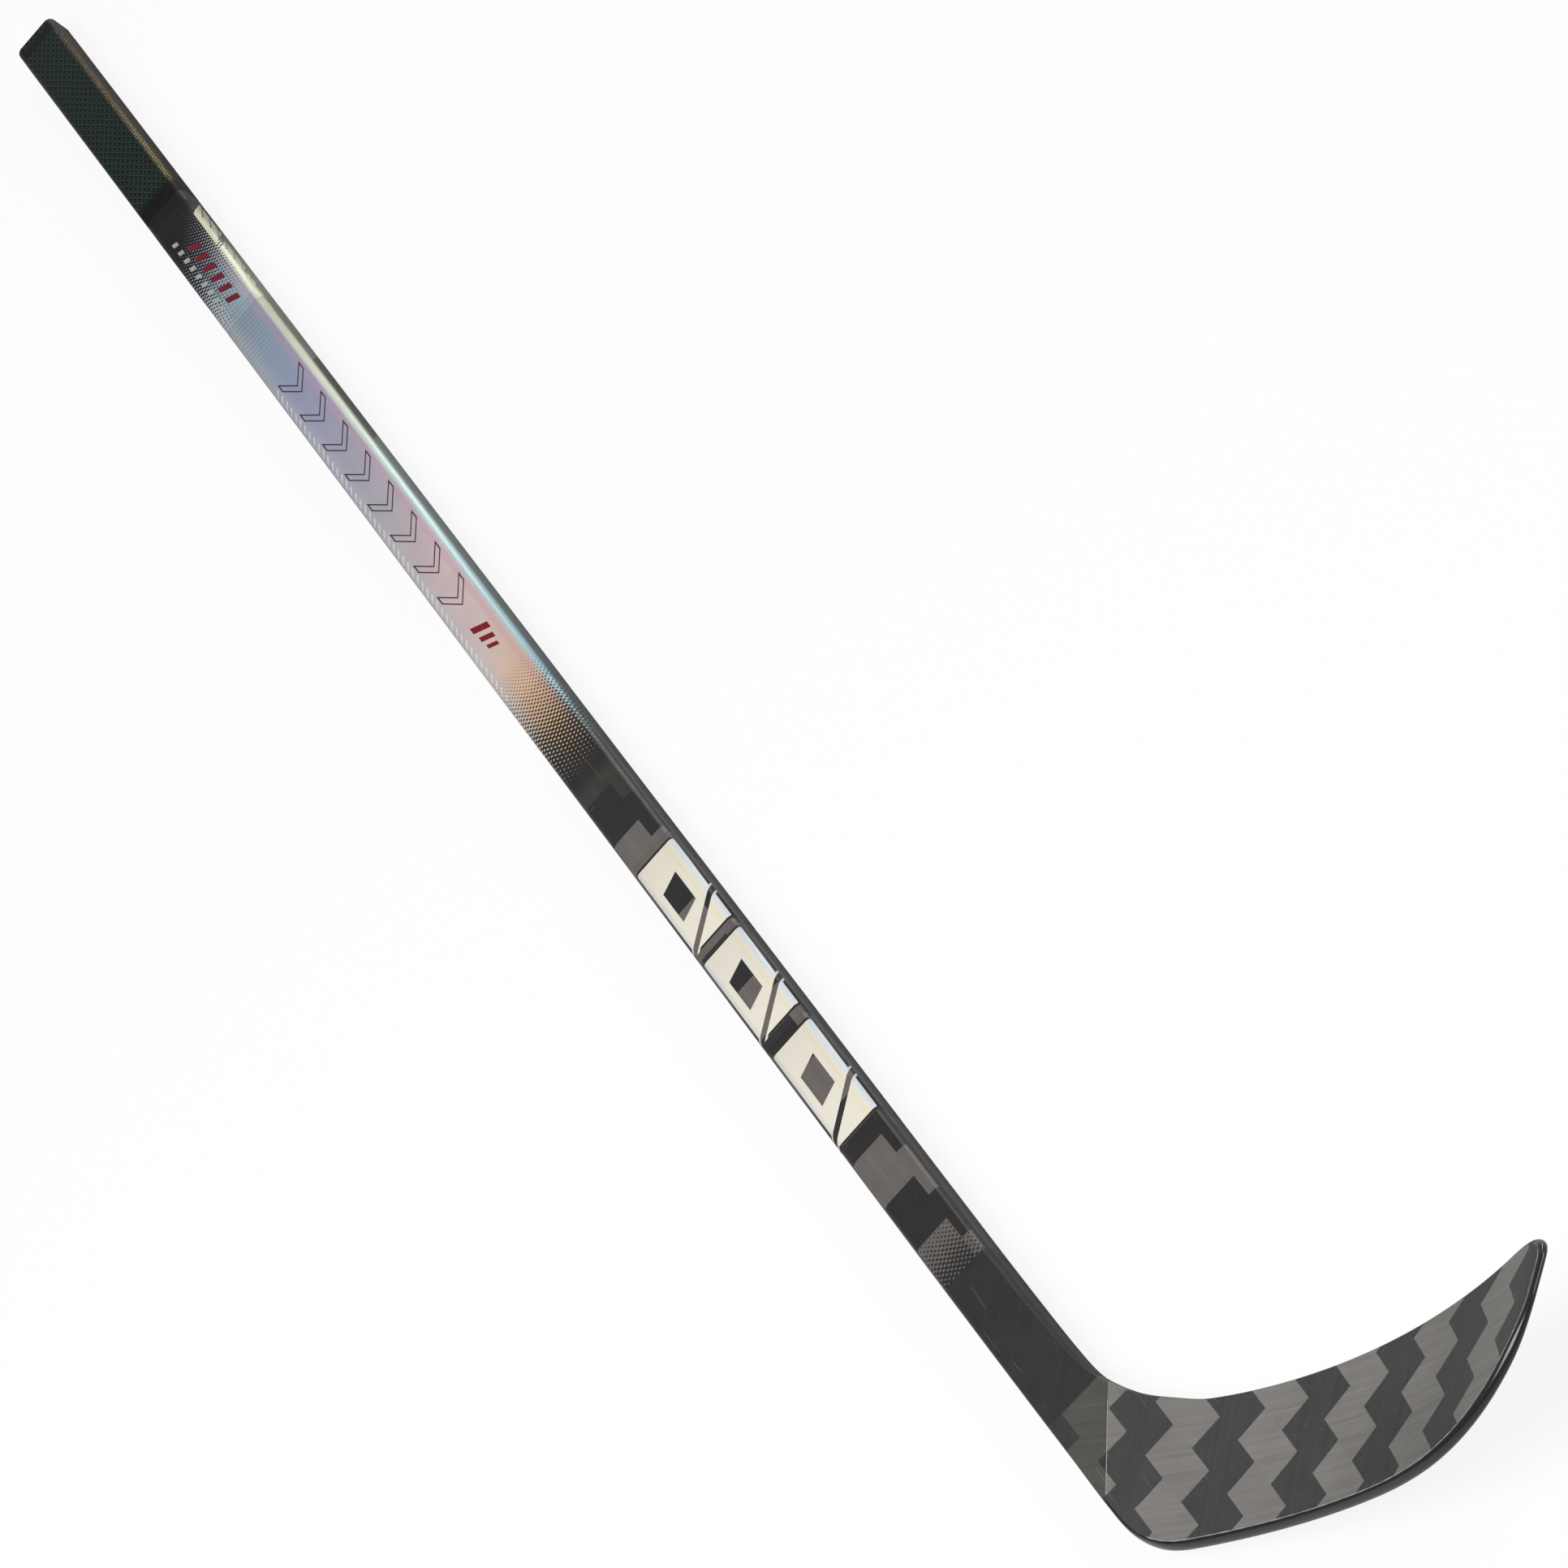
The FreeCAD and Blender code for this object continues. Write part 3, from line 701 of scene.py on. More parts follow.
@dataclass(frozen=True)
class GripSurface(Finish):
    """Tacky film or rubber with embossed curls, gold-flecked along the inner ridge."""

    rough: float = 0.42
    curl_depth: float = 0.00012

    def write(self, net: Net) -> dict[str, object]:
        """Dark green curls on black up to the plain end, a warm side and a line of flecks."""
        along, across = self.art(net)
        marks = self.worn(net, 0.35, 0.25)
        textured = along.rise(-545.0, -556.0)
        curls = Curl().place(net, Along=along, Across=across)["Mask"] * textured
        ground = net.mix(curls, paint(11, 10, 9), paint(44, 74, 63))
        way = (along + 762.0) / 215.0
        side_stops = [(0.0, paint(62, 50, 40)), (0.6, paint(50, 46, 36)), (1.0, paint(30, 31, 27))]
        side = net.ramp(way, side_stops)
        side = net.mix(curls * 0.5, side, paint(26, 26, 22))
        ground = net.mix(across.rise(15.5, 17.8), ground, side)
        flecks = net.noise(net.point(along * 0.9, across * 1.2), 1.0, 2.0).rise(0.42, 0.6)
        gold_stops = [(0.0, paint(150, 110, 80)), (0.5, paint(170, 136, 80)), (0.9, paint(190, 165, 80))]
        gold = net.ramp(way, gold_stops)
        dashes = ((along + across) / 2.8).part().within(0.0, 0.6, 0.12)
        line = across.within(12.4, 16.4, 0.7) * flecks * dashes * textured
        ground = net.mix(line * 0.95, ground, gold)
        ground = net.mix(marks["Marks"] * 0.35, ground, paint(120, 118, 110))
        grain = net.noise(net.point(along, across), 2.2, 3.0)
        rough = marks["Tone"] * 0.14 - line * 0.1 - curls * 0.06 + self.rough
        normal = net.relief(curls * 0.75 + grain * 0.25, self.curl_depth)
        return {"Base Color": ground, "Roughness": rough, "Normal": normal, "Metallic": line * 0.35}


@dataclass(frozen=True)
class FoilSurface(Finish):
    """Printed foil film under a clear coat."""

    rough: float = 0.3
    shine: float = 0.25

    def write(self, net: Net) -> dict[str, object]:
        """The foil print, a little metallic where the foil shows, with wear in the coat."""
        along, across = self.art(net)
        marks = self.worn(net, 0.3, 0.3)
        print_ = FoilPrint().place(net, Along=along, Across=across)
        colour = net.mix(marks["Marks"] * 0.3, print_["Color"], paint(200, 198, 190))
        rough = marks["Tone"] * 0.1 + (1.0 - print_["Foil"]) * 0.14 + self.rough
        return {
            "Base Color": net.tone(colour, marks["Tone"] * 0.08 + 0.94),
            "Roughness": rough,
            "Metallic": print_["Foil"] * self.shine,
            "Coat Weight": print_["Foil"] * 0.35,
            "Normal": net.relief(print_["Height"] * 0.7 + marks["Height"] * 0.3, 0.00005),
        }


@dataclass(frozen=True)
class ShaftSurface(Finish):
    """Printed and lacquered carbon of the shaft: foil print towards the butt, plies towards the heel."""

    rough: float = 0.36

    def write(self, net: Net) -> dict[str, object]:
        """Both prints, which meet where the foil's last dots end."""
        along, across = self.art(net)
        marks = self.worn(net, 0.4, 0.45)
        foil = FoilPrint().place(net, Along=along, Across=across)
        plies = PlyPrint().place(net, Along=along, Across=across)
        lower = along.rise(95.5, 96.5)
        foil_share = foil["Foil"] * (1.0 - lower)
        colour = net.mix(foil_share.most(along.rise(60.0, 58.0)), plies["Color"], foil["Color"])
        colour = net.mix(marks["Marks"] * 0.3, colour, paint(150, 148, 140))
        height = plies["Height"] * 0.6 + foil_share * 0.4 + marks["Height"] * 0.3
        return {
            "Base Color": net.tone(colour, marks["Tone"] * 0.14 + 0.9),
            "Roughness": marks["Tone"] * 0.12 + self.rough,
            "Metallic": foil_share * 0.2,
            "Coat Weight": along.rise(-560.0, -400.0) * 0.2,
            "Normal": net.relief(height, 0.00006),
        }


@dataclass(frozen=True)
class BlockSurface(Finish):
    """A pale printed block on the carbon, outlined, with slanted slots that show the plies."""

    start: float = 183.0
    end: float = 261.0
    slot: float = 204.0

    def write(self, net: Net) -> dict[str, object]:
        """Pale between its ends and ridges, with an outline, a stepped slot and a slash."""
        along, across = self.art(net)
        marks = self.worn(net, 0.35, 0.4)
        plies = PlyPrint().place(net, Along=along, Across=across)
        middle, half = (self.start + self.end) / 2, (self.end - self.start) / 2
        beyond = (along - middle).size() - (half - 3.0)
        over = (across - 0.4).size() - 12.6
        corner = (beyond.most(0.0) * beyond.most(0.0) + over.most(0.0) * over.most(0.0)).math("SQRT")
        pale = corner.rise(3.1, 2.9)
        outline = corner.rise(1.0, 1.2) * pale
        lean = along + across * 0.42
        slot_far = ((lean - self.slot - 13.0).size() - 13.0).most((across + 1.6).size() - 6.2)
        slash_far = (along + across * 0.9 - self.slot - 40.0).size() - 2.6
        nearest = slot_far.least(slash_far)
        window = nearest.rise(0.1, -0.1)
        outline = outline * nearest.rise(1.7, 1.9)
        inner = net.mix(across.rise(9.8, 11.8), paint(228, 222, 206), paint(216, 222, 224))
        inner = net.mix(across.within(7.6, 9.4, 0.7) * 0.55, inner, paint(226, 216, 168))
        inner = net.mix(across.rise(-10.0, -12.0) * 0.6, inner, paint(206, 206, 204))
        cloud = net.noise(net.point(along * 0.04, across * 0.2), 1.0, 3.0)
        inner = net.tone(inner, cloud * 0.08 + 0.95)
        colour = net.mix(pale, plies["Color"], net.mix(outline, inner, paint(38, 32, 28)))
        colour = net.mix(window * pale, colour, plies["Color"])
        colour = net.mix(marks["Marks"] * 0.35, colour, paint(92, 88, 80))
        ink = pale * (1.0 - window)
        return {
            "Base Color": colour,
            "Roughness": marks["Tone"] * 0.1 + 0.34 - ink * 0.04,
            "Coat Weight": 0.25,
            "Normal": net.relief(ink * 0.7 + marks["Height"] * 0.2, 0.00006),
        }


@dataclass(frozen=True)
class FabricSurface(Finish):
    """Bare carbon fabric of the hosel and blade in satin resin."""

    blade: float = 1.0
    rough: float = 0.44

    def write(self, net: Net) -> dict[str, object]:
        """The fabric, with resin that is patchy and scuffed."""
        along, across = self.art(net)
        marks = self.worn(net, 0.45, 0.4)
        cloth = FabricPrint().place(net, Along=along, Across=across, Blade=self.blade)
        colour = net.mix(marks["Marks"] * 0.4, cloth["Color"], paint(165, 162, 155))
        return {
            "Base Color": net.tone(colour, marks["Tone"] * 0.12 + 0.92),
            "Roughness": marks["Tone"] * 0.16 + self.rough,
            "Coat Weight": 0.1,
            "Normal": net.relief(cloth["Height"], 0.00009),
        }


@dataclass(frozen=True)
class PlainSurface(Finish):
    """One material with mottled tone, fine grain and a few marks: resin, foam, ink or adhesive."""

    colour: Colour = (0.5, 0.5, 0.5, 1.0)
    second: Colour = (0.4, 0.4, 0.4, 1.0)
    rough: float = 0.5
    coat: float = 0.0
    grain: float = 900.0
    depth: float = 0.00003

    def write(self, net: Net) -> dict[str, object]:
        """Clouds mix the two colours, and the grain gives tone and bump."""
        place = Wire(net, net.node("ShaderNodeTexCoord").outputs["Object"])
        marks = self.worn(net, 0.25, 0.25)
        grain = net.noise(place, self.grain, 3.0)
        colour = net.mix((marks["Tone"] * 0.6 + grain * 0.5).least(1.0), self.colour, self.second)
        colour = net.mix(marks["Marks"] * 0.25, colour, paint(190, 188, 182))
        return {
            "Base Color": colour,
            "Roughness": marks["Tone"] * 0.12 + self.rough,
            "Coat Weight": self.coat,
            "Normal": net.relief(grain * 0.7 + marks["Height"] * 0.3, self.depth),
        }


@dataclass(frozen=True)
class TowSurface(Finish):
    """Raw unidirectional carbon inside the shaft and blade."""

    def write(self, net: Net) -> dict[str, object]:
        """Tows run along the stick, in the piece's own space."""
        place = net.node("ShaderNodeTexCoord").outputs["Object"]
        split = net.node("ShaderNodeSeparateXYZ", {"Vector": Wire(net, place)})
        x, y, z = (Wire(net, socket) * 1000.0 for socket in split.outputs)
        tow = Tow().place(net, Along=x, Across=y + z * 0.7, Width=3.0)
        marks = self.worn(net, 0.3, 0.1)
        colour = net.mix(tow["Streak"], paint(30, 30, 31), paint(66, 66, 68))
        return {
            "Base Color": net.tone(colour, marks["Tone"] * 0.2 + 0.85),
            "Roughness": tow["Streak"] * 0.15 + 0.4,
            "Normal": net.relief(tow["Height"], 0.00008),
        }


@dataclass(frozen=True)
class Finishes:
    """Every finish of the stick."""

    cap: Finish = GripSurface("cap_rubber", specular=0.35, rough=0.5)
    grip: Finish = GripSurface("grip_film", specular=0.32, rough=0.4)
    motif: Finish = FoilSurface("motif_print", rough=0.32, shine=0.15)
    foil: Finish = FoilSurface("foil", rough=0.3, shine=0.22)
    shaft: Finish = ShaftSurface("shaft_carbon")
    block_upper: Finish = BlockSurface("block_print_upper", start=183.0, end=261.0, slot=207.0)
    block_middle: Finish = BlockSurface("block_print_middle", start=268.0, end=343.0, slot=290.0)
    block_lower: Finish = BlockSurface("block_print_lower", start=353.5, end=436.4, slot=377.0)
    hosel: Finish = FabricSurface("hosel_carbon", blade=0.0, rough=0.4)
    blade: Finish = FabricSurface("blade_fabric", blade=1.0, rough=0.46)
    rim: Finish = PlainSurface(
        "rim_resin", specular=0.6, coat_rough=0.06, colour=paint(15, 15, 16), second=paint(28, 28, 29),
        rough=0.16, coat=0.6, grain=300.0, depth=0.00002
    )
    # Pale grey bead colour: a painted highlight, the lamps' shine on the glossy sole bead and the raised heel
    # ply edge.
    bead: Finish = PlainSurface(
        "seam_resin_painted_highlight", colour=paint(178, 176, 168), second=paint(120, 118, 112), rough=0.3, grain=1500.0
    )
    red: Finish = PlainSurface(
        "red_ink", colour=paint(132, 7, 32), second=paint(98, 10, 28), rough=0.3, coat=0.3
    )
    pale: Finish = PlainSurface(
        "pale_ink", colour=paint(182, 184, 183), second=paint(146, 150, 150), rough=0.35
    )
    dark: Finish = PlainSurface("dark_ink", colour=paint(52, 46, 54), second=paint(38, 36, 42), rough=0.4)
    foam: Finish = PlainSurface(
        "core_foam", colour=paint(214, 206, 184), second=paint(186, 176, 150), rough=0.85,
        grain=1400.0, depth=0.0002
    )
    adhesive: Finish = PlainSurface(
        "adhesive", colour=paint(172, 152, 104), second=paint(140, 120, 80), rough=0.32, coat=0.2, grain=220.0
    )
    inner: Finish = TowSurface("inner_carbon")


FINISH = Finishes()


# ---------------------------------------------------------------------------------------------
# Shaping
# ---------------------------------------------------------------------------------------------


class SelectKind(Enum):
    """What is picked in edit mode."""

    VERT = "VERT"
    EDGE = "EDGE"
    FACE = "FACE"


def take_up(*pieces: bpy.types.Object) -> None:
    """Selects just these pieces and makes the first one active."""
    bpy.ops.object.select_all(action="DESELECT")
    for piece in pieces:
        piece.select_set(True)
    bpy.context.view_layer.objects.active = pieces[0]


@contextmanager
def editing(piece: bpy.types.Object) -> Iterator[None]:
    """Opens one piece in edit mode.

    Args:
        piece: The piece.

    Yields:
        Nothing; edit mode is left afterwards.
    """
    take_up(piece)
    bpy.ops.object.mode_set(mode="EDIT")
    yield
    bpy.ops.object.mode_set(mode="OBJECT")


def pick(piece: bpy.types.Object, kind: SelectKind, test: Callable[[object], bool]) -> None:
    """Selects, in edit mode, just the parts that pass a test.

    Args:
        piece: The piece being edited.
        kind: Whether vertices, edges or faces are picked.
        test: Says yes or no for each.
    """
    bpy.ops.mesh.select_mode(type=kind.value)
    bpy.ops.mesh.select_all(action="DESELECT")
    mesh = bmesh.from_edit_mesh(piece.data)
    parts = {SelectKind.VERT: mesh.verts, SelectKind.EDGE: mesh.edges, SelectKind.FACE: mesh.faces}[kind]
    for part in parts:
        part.select_set(test(part))
    mesh.select_flush_mode()
    bmesh.update_edit_mesh(piece.data)


def block(name: str, low: Vector, high: Vector) -> bpy.types.Object:
    """Makes a block between two corners.

    Args:
        name: The piece's name.
        low: Lowest corner, in millimetres.
        high: Highest corner.

    Returns:
        The block, at the origin and unscaled.
    """
    bpy.ops.object.select_all(action="DESELECT")
    bpy.ops.mesh.primitive_cube_add(size=1.0, location=(low + high) / 2 * MM)
    made = bpy.context.active_object
    made.name = name
    made.data.name = name
    made.scale = (high - low) * MM
    bpy.ops.object.transform_apply(location=True, rotation=True, scale=True)
    return made


def cut_across(piece: bpy.types.Object, place: float) -> None:
    """Cuts the edited piece's faces by a plane square to the shaft.

    Args:
        piece: The piece being edited.
        place: Where, along the shaft, in millimetres.
    """
    pick(piece, SelectKind.FACE, lambda face: True)
    bpy.ops.mesh.bisect(plane_co=(place * MM, 0, 0), plane_no=(1, 0, 0))


def modify(piece: bpy.types.Object, kind: str, **settings: object) -> None:
    """Adds a modifier and applies it.

    Args:
        piece: The piece.
        kind: Blender's name for the modifier.
        settings: The modifier's settings.
    """
    take_up(piece)
    made = piece.modifiers.new(kind.lower(), kind)
    for name, value in settings.items():
        setattr(made, name, value)
    bpy.ops.object.modifier_apply(modifier=made.name)


def mesh_piece(name: str, points: list[Vector], faces: list[tuple[int, ...]]) -> bpy.types.Object:
    """Makes a piece straight from points and faces, for free-form shells that no edit step gives.

    Args:
        name: The piece's name.
        points: Its points, in metres.
        faces: Its faces, as rows of point numbers.

    Returns:
        The piece.
    """
    mesh = bpy.data.meshes.new(name)
    mesh.from_pydata(points, [], faces)
    mesh.update()
    made = bpy.data.objects.new(name, mesh)
    bpy.context.scene.collection.objects.link(made)
    return made


def lay_art(piece: bpy.types.Object, layout: Callable[[Vector, Vector], tuple[float, float]]) -> None:
    """Writes the piece's artwork layout as its UV map.

    Args:
        piece: The piece.
        layout: Gives along and across, in millimetres, from a corner and its face's centre.
    """
    mesh = piece.data
    target = mesh.uv_layers.new(name="art")
    for face in mesh.polygons:
        centre = face.center / MM
        for loop in face.loop_indices:
            corner = mesh.vertices[mesh.loops[loop].vertex_index].co / MM
            along, across = layout(corner, centre)
            target.data[loop].uv = (along * MM, across * MM)


def hand_over(
    piece: bpy.types.Object, finish: Finish, slot: str, nodes: tuple[str, ...] = (), body: str = "stick",
    angle: float = 35.0
) -> None:
    """Dresses a piece, smooths it, and puts it on its body.

    Args:
        piece: The piece.
        finish: Its finish.
        slot: The record's material slot; not used.
        nodes: The CAD nodes it stands for.
        body: The body it rides.
        angle: Edges flatter than this, in degrees, are shaded smooth.
    """
    piece.data.materials.clear()
    piece.data.materials.append(finish.material())
    take_up(piece)
    bpy.ops.object.shade_smooth_by_angle(angle=math.radians(angle))
    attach(piece, body)
    if nodes:
        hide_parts(*nodes)
    LOG.info("%s: %d faces", piece.name, len(piece.data.polygons))


@dataclass(frozen=True)
class Section:
    """The shaft's cross-section, in millimetres, with its back face on Z = 0."""

    width: float = 30.5
    thick: float = 20.0
    corner: float = 4.5

    def around(self, corner: Vector, centre: Vector) -> tuple[float, float]:
        """Gives along and across for a point, measured round from the forehand centre line.

        Args:
            corner: The point.
            centre: The middle of its face, which says on which side of the back seam it lies.

        Returns:
            Along and across, in millimetres.
        """
        flat = self.width / 2 - self.corner
        arc = self.corner * math.pi / 2
        tall = self.thick - 2 * self.corner
        side = 1.0 if centre.y >= 0 else -1.0
        out, up = side * corner.y, corner.z
        if out <= flat:
            across = out if up > self.thick / 2 else 2 * flat + 2 * arc + tall - out
        elif up > self.thick - self.corner:
            across = flat + self.corner * math.atan2(out - flat, up - self.thick + self.corner)
        elif up >= self.corner:
            across = flat + arc + self.thick - self.corner - up
        else:
            across = flat + self.corner * math.atan2(out - flat, up - self.corner) + tall
        return corner.x, side * across


@dataclass(frozen=True)
class Tube:
    """A stretch of the shaft's section, made as a thin open sleeve."""

    section: Section = field(default_factory=Section)

    def make(self, name: str, start: float, end: float, proud: float, wall: float) -> bpy.types.Object:
        """Bevels a block into the section, opens its ends, and gives it a wall.

        Args:
            name: The piece's name.
            start: Butt end, in millimetres.
            end: Heel end.
            proud: How far it stands out of the shaft's section.
            wall: Its wall, inward.

        Returns:
            The sleeve, without its wall when wall is 0.
        """
        half = self.section.width / 2 + proud
        made = block(name, Vector((start, -half, -proud)), Vector((end, half, self.section.thick + proud)))
        with editing(made):
            self.round_long_edges(made, self.section.corner + proud)
            pick(made, SelectKind.FACE, lambda face: abs(face.normal.x) > 0.9)
            bpy.ops.mesh.delete(type="ONLY_FACE")
            pick(made, SelectKind.FACE, lambda face: True)
            bpy.ops.mesh.bisect(plane_co=(0, 0, 0), plane_no=(0, 1, 0))
        if wall:
            self.thicken(made, wall)
        return made

    def round_long_edges(self, piece: bpy.types.Object, radius: float) -> None:
        """Rounds the four edges that run along the shaft, in edit mode."""

        def runs_along(edge: bmesh.types.BMEdge) -> bool:
            """Says whether an edge lies along the shaft."""
            way = edge.verts[1].co - edge.verts[0].co
            return abs(way.x) > 0.9 * way.length

        pick(piece, SelectKind.EDGE, runs_along)
        bpy.ops.mesh.bevel(offset=radius * MM, segments=10, affect="EDGES")

    def thicken(self, piece: bpy.types.Object, wall: float) -> None:
        """Gives an open sleeve its wall, inward, with closed ends."""
        modify(piece, "SOLIDIFY", thickness=wall * MM, offset=-1.0, use_even_offset=True, use_rim=True)


@dataclass
class Shaft:
    """The lacquered tube with its film seats, and every film wrapped round it."""

    tube: Tube = field(default_factory=Tube)
    start: float = -756.0
    end: float = 557.0
    wall: float = 1.6
    seat: float = 0.3
    film_proud: float = 0.05
    step: float = 0.15

    def films(self) -> list[tuple[str, str, float, float, Finish, str]]:
        """Lists name, CAD node, start, end, finish and slot of each film."""
        return [
            ("grip_sleeve", "grip_film", -748.0, -536.0, FINISH.grip, "grip_film"),
            ("motif_sleeve", "motif_decal", -524.0, -412.0, FINISH.motif, "motif_print"),
            ("foil_sleeve", "foil_wrap", -404.0, 20.0, FINISH.foil, "foil"),
            ("block_sleeve_upper", "block_decal_upper", 178.5, 261.5, FINISH.block_upper, "block_print"),
            ("block_sleeve_middle", "block_decal_middle", 266.0, 349.0, FINISH.block_middle, "block_print"),
            ("block_sleeve_lower", "block_decal_lower", 353.5, 436.5, FINISH.block_lower, "block_print"),
        ]

    def body(self) -> None:
        """The tube, cut across at each film's ends and pressed in between them."""
        section = self.tube.section
        made = self.tube.make("shaft_body", self.start, self.end, 0.0, 0.0)
        with editing(made):
            for _, _, start, end, _, _ in self.films():
                for place in (start - self.step, start, end, end + self.step):
                    cut_across(made, place)
                low, high = (start - 0.01) * MM, (end + 0.01) * MM
                pick(made, SelectKind.VERT, lambda vert, low=low, high=high: low < vert.co.x < high)
                bpy.ops.transform.resize(
                    value=(1.0, 1 - 2 * self.seat / section.width, 1 - 2 * self.seat / section.thick),
                    center_override=(0, 0, section.thick / 2 * MM)
                )
        self.tube.thicken(made, self.wall)
        lay_art(made, section.around)
        hand_over(made, FINISH.shaft, "shaft_carbon", ("shaft_tube",))

    def wraps(self) -> None:
        """Each film, a hair proud of the lacquer, with softened ends."""
        for name, node, start, end, finish, slot in self.films():
            made = self.tube.make(name, start, end, self.film_proud, self.film_proud + self.seat - 0.02)
            modify(
                made, "BEVEL", width=0.03 * MM, segments=2, limit_method="ANGLE", angle_limit=math.radians(60)
            )
            lay_art(made, self.tube.section.around)
            hand_over(made, finish, slot, (node,))

    def build(self) -> None:
        """Builds the tube and its films."""
        self.body()
        self.wraps()


@dataclass
class EndCap:
    """The rubber butt end: a rounded lip with a dished end, and a ribbed hollow plug."""

    tube: Tube = field(default_factory=Tube)
    outer: float = -762.0
    lip: float = 6.0
    plug: float = 58.0
    shoulder: float = 2.4
    wall: float = 2.5
    rib_swell: float = 1.012
    ribs: tuple[float, ...] = (8.0, 20.0, 32.0, 44.0)

    def build(self) -> None:
        """Rounds the lip, dishes its end, and draws the plug out of its inner face."""
        section = self.tube.section
        half = section.width / 2
        inner = self.outer + self.lip
        made = block("end_cap_shell", Vector((self.outer, -half, 0)), Vector((inner, half, section.thick)))
        mouth = (inner + self.plug) * MM
        with editing(made):
            self.tube.round_long_edges(made, section.corner)
            pick(made, SelectKind.FACE, lambda face: face.normal.x > 0.9)
            bpy.ops.mesh.inset(thickness=self.shoulder * MM)
            bpy.ops.mesh.extrude_region_move(TRANSFORM_OT_translate={"value": (self.plug * MM, 0, 0)})
            bpy.ops.mesh.inset(thickness=self.wall * MM)
            bpy.ops.mesh.extrude_region_move(TRANSFORM_OT_translate={"value": (-(self.plug - 4) * MM, 0, 0)})
            rim = (self.outer + 0.01) * MM
            pick(made, SelectKind.EDGE, lambda edge: all(vert.co.x < rim for vert in edge.verts))
            bpy.ops.mesh.bevel(offset=2.2 * MM, segments=6, affect="EDGES")
            pick(made, SelectKind.FACE, lambda face: face.normal.x < -0.99 and face.calc_area() > 5e-5)
            bpy.ops.mesh.inset(thickness=2.0 * MM)
            bpy.ops.mesh.extrude_region_move(TRANSFORM_OT_translate={"value": (0.7 * MM, 0, 0)})
            bpy.ops.mesh.inset(thickness=2.2 * MM)
            bpy.ops.mesh.extrude_region_move(TRANSFORM_OT_translate={"value": (-0.4 * MM, 0, 0)})
            pick(made, SelectKind.EDGE, lambda edge: all(vert.co.x > mouth - 1e-6 for vert in edge.verts))
            bpy.ops.mesh.bevel(offset=0.8 * MM, segments=3, affect="EDGES")
            self.add_ribs(made, inner)
        lay_art(made, section.around)
        hand_over(made, FINISH.cap, "cap_rubber", ("end_cap",), body="cap", angle=40.0)

    def add_ribs(self, piece: bpy.types.Object, inner: float) -> None:
        """Swells four narrow rings on the plug, in edit mode."""
        for rib in self.ribs:
            for offset in (-1.0, -0.4, 0.4, 1.0):
                cut_across(piece, inner + rib + offset)
            low, high = (inner + rib - 0.5) * MM, (inner + rib + 0.5) * MM
            bore = (13.0 - self.wall + 0.5) * MM

            def on_rib(vert: bmesh.types.BMVert, low: float = low, high: float = high) -> bool:
                """Says whether a point is on the crest, outside the bore."""
                outside = abs(vert.co.y) > bore or abs(vert.co.z - 0.01) > bore - 5.1 * MM
                return low < vert.co.x < high and outside

            pick(piece, SelectKind.VERT, on_rib)
            bpy.ops.transform.resize(
                value=(1.0, self.rib_swell, self.rib_swell), center_override=(0, 0, 0.01)
            )


# ---------------------------------------------------------------------------------------------
# Hosel and blade
# ---------------------------------------------------------------------------------------------


@dataclass(frozen=True)
class Cut:
    """One line across the hosel or blade, laid out flat: the edges, thickness, ways in and lift."""

    foot: Vector
    head: Vector
    thick: float
    foot_in: Vector = Vector((0, 0))
    head_in: Vector = Vector((0, 0))
    lift: float = 0.0


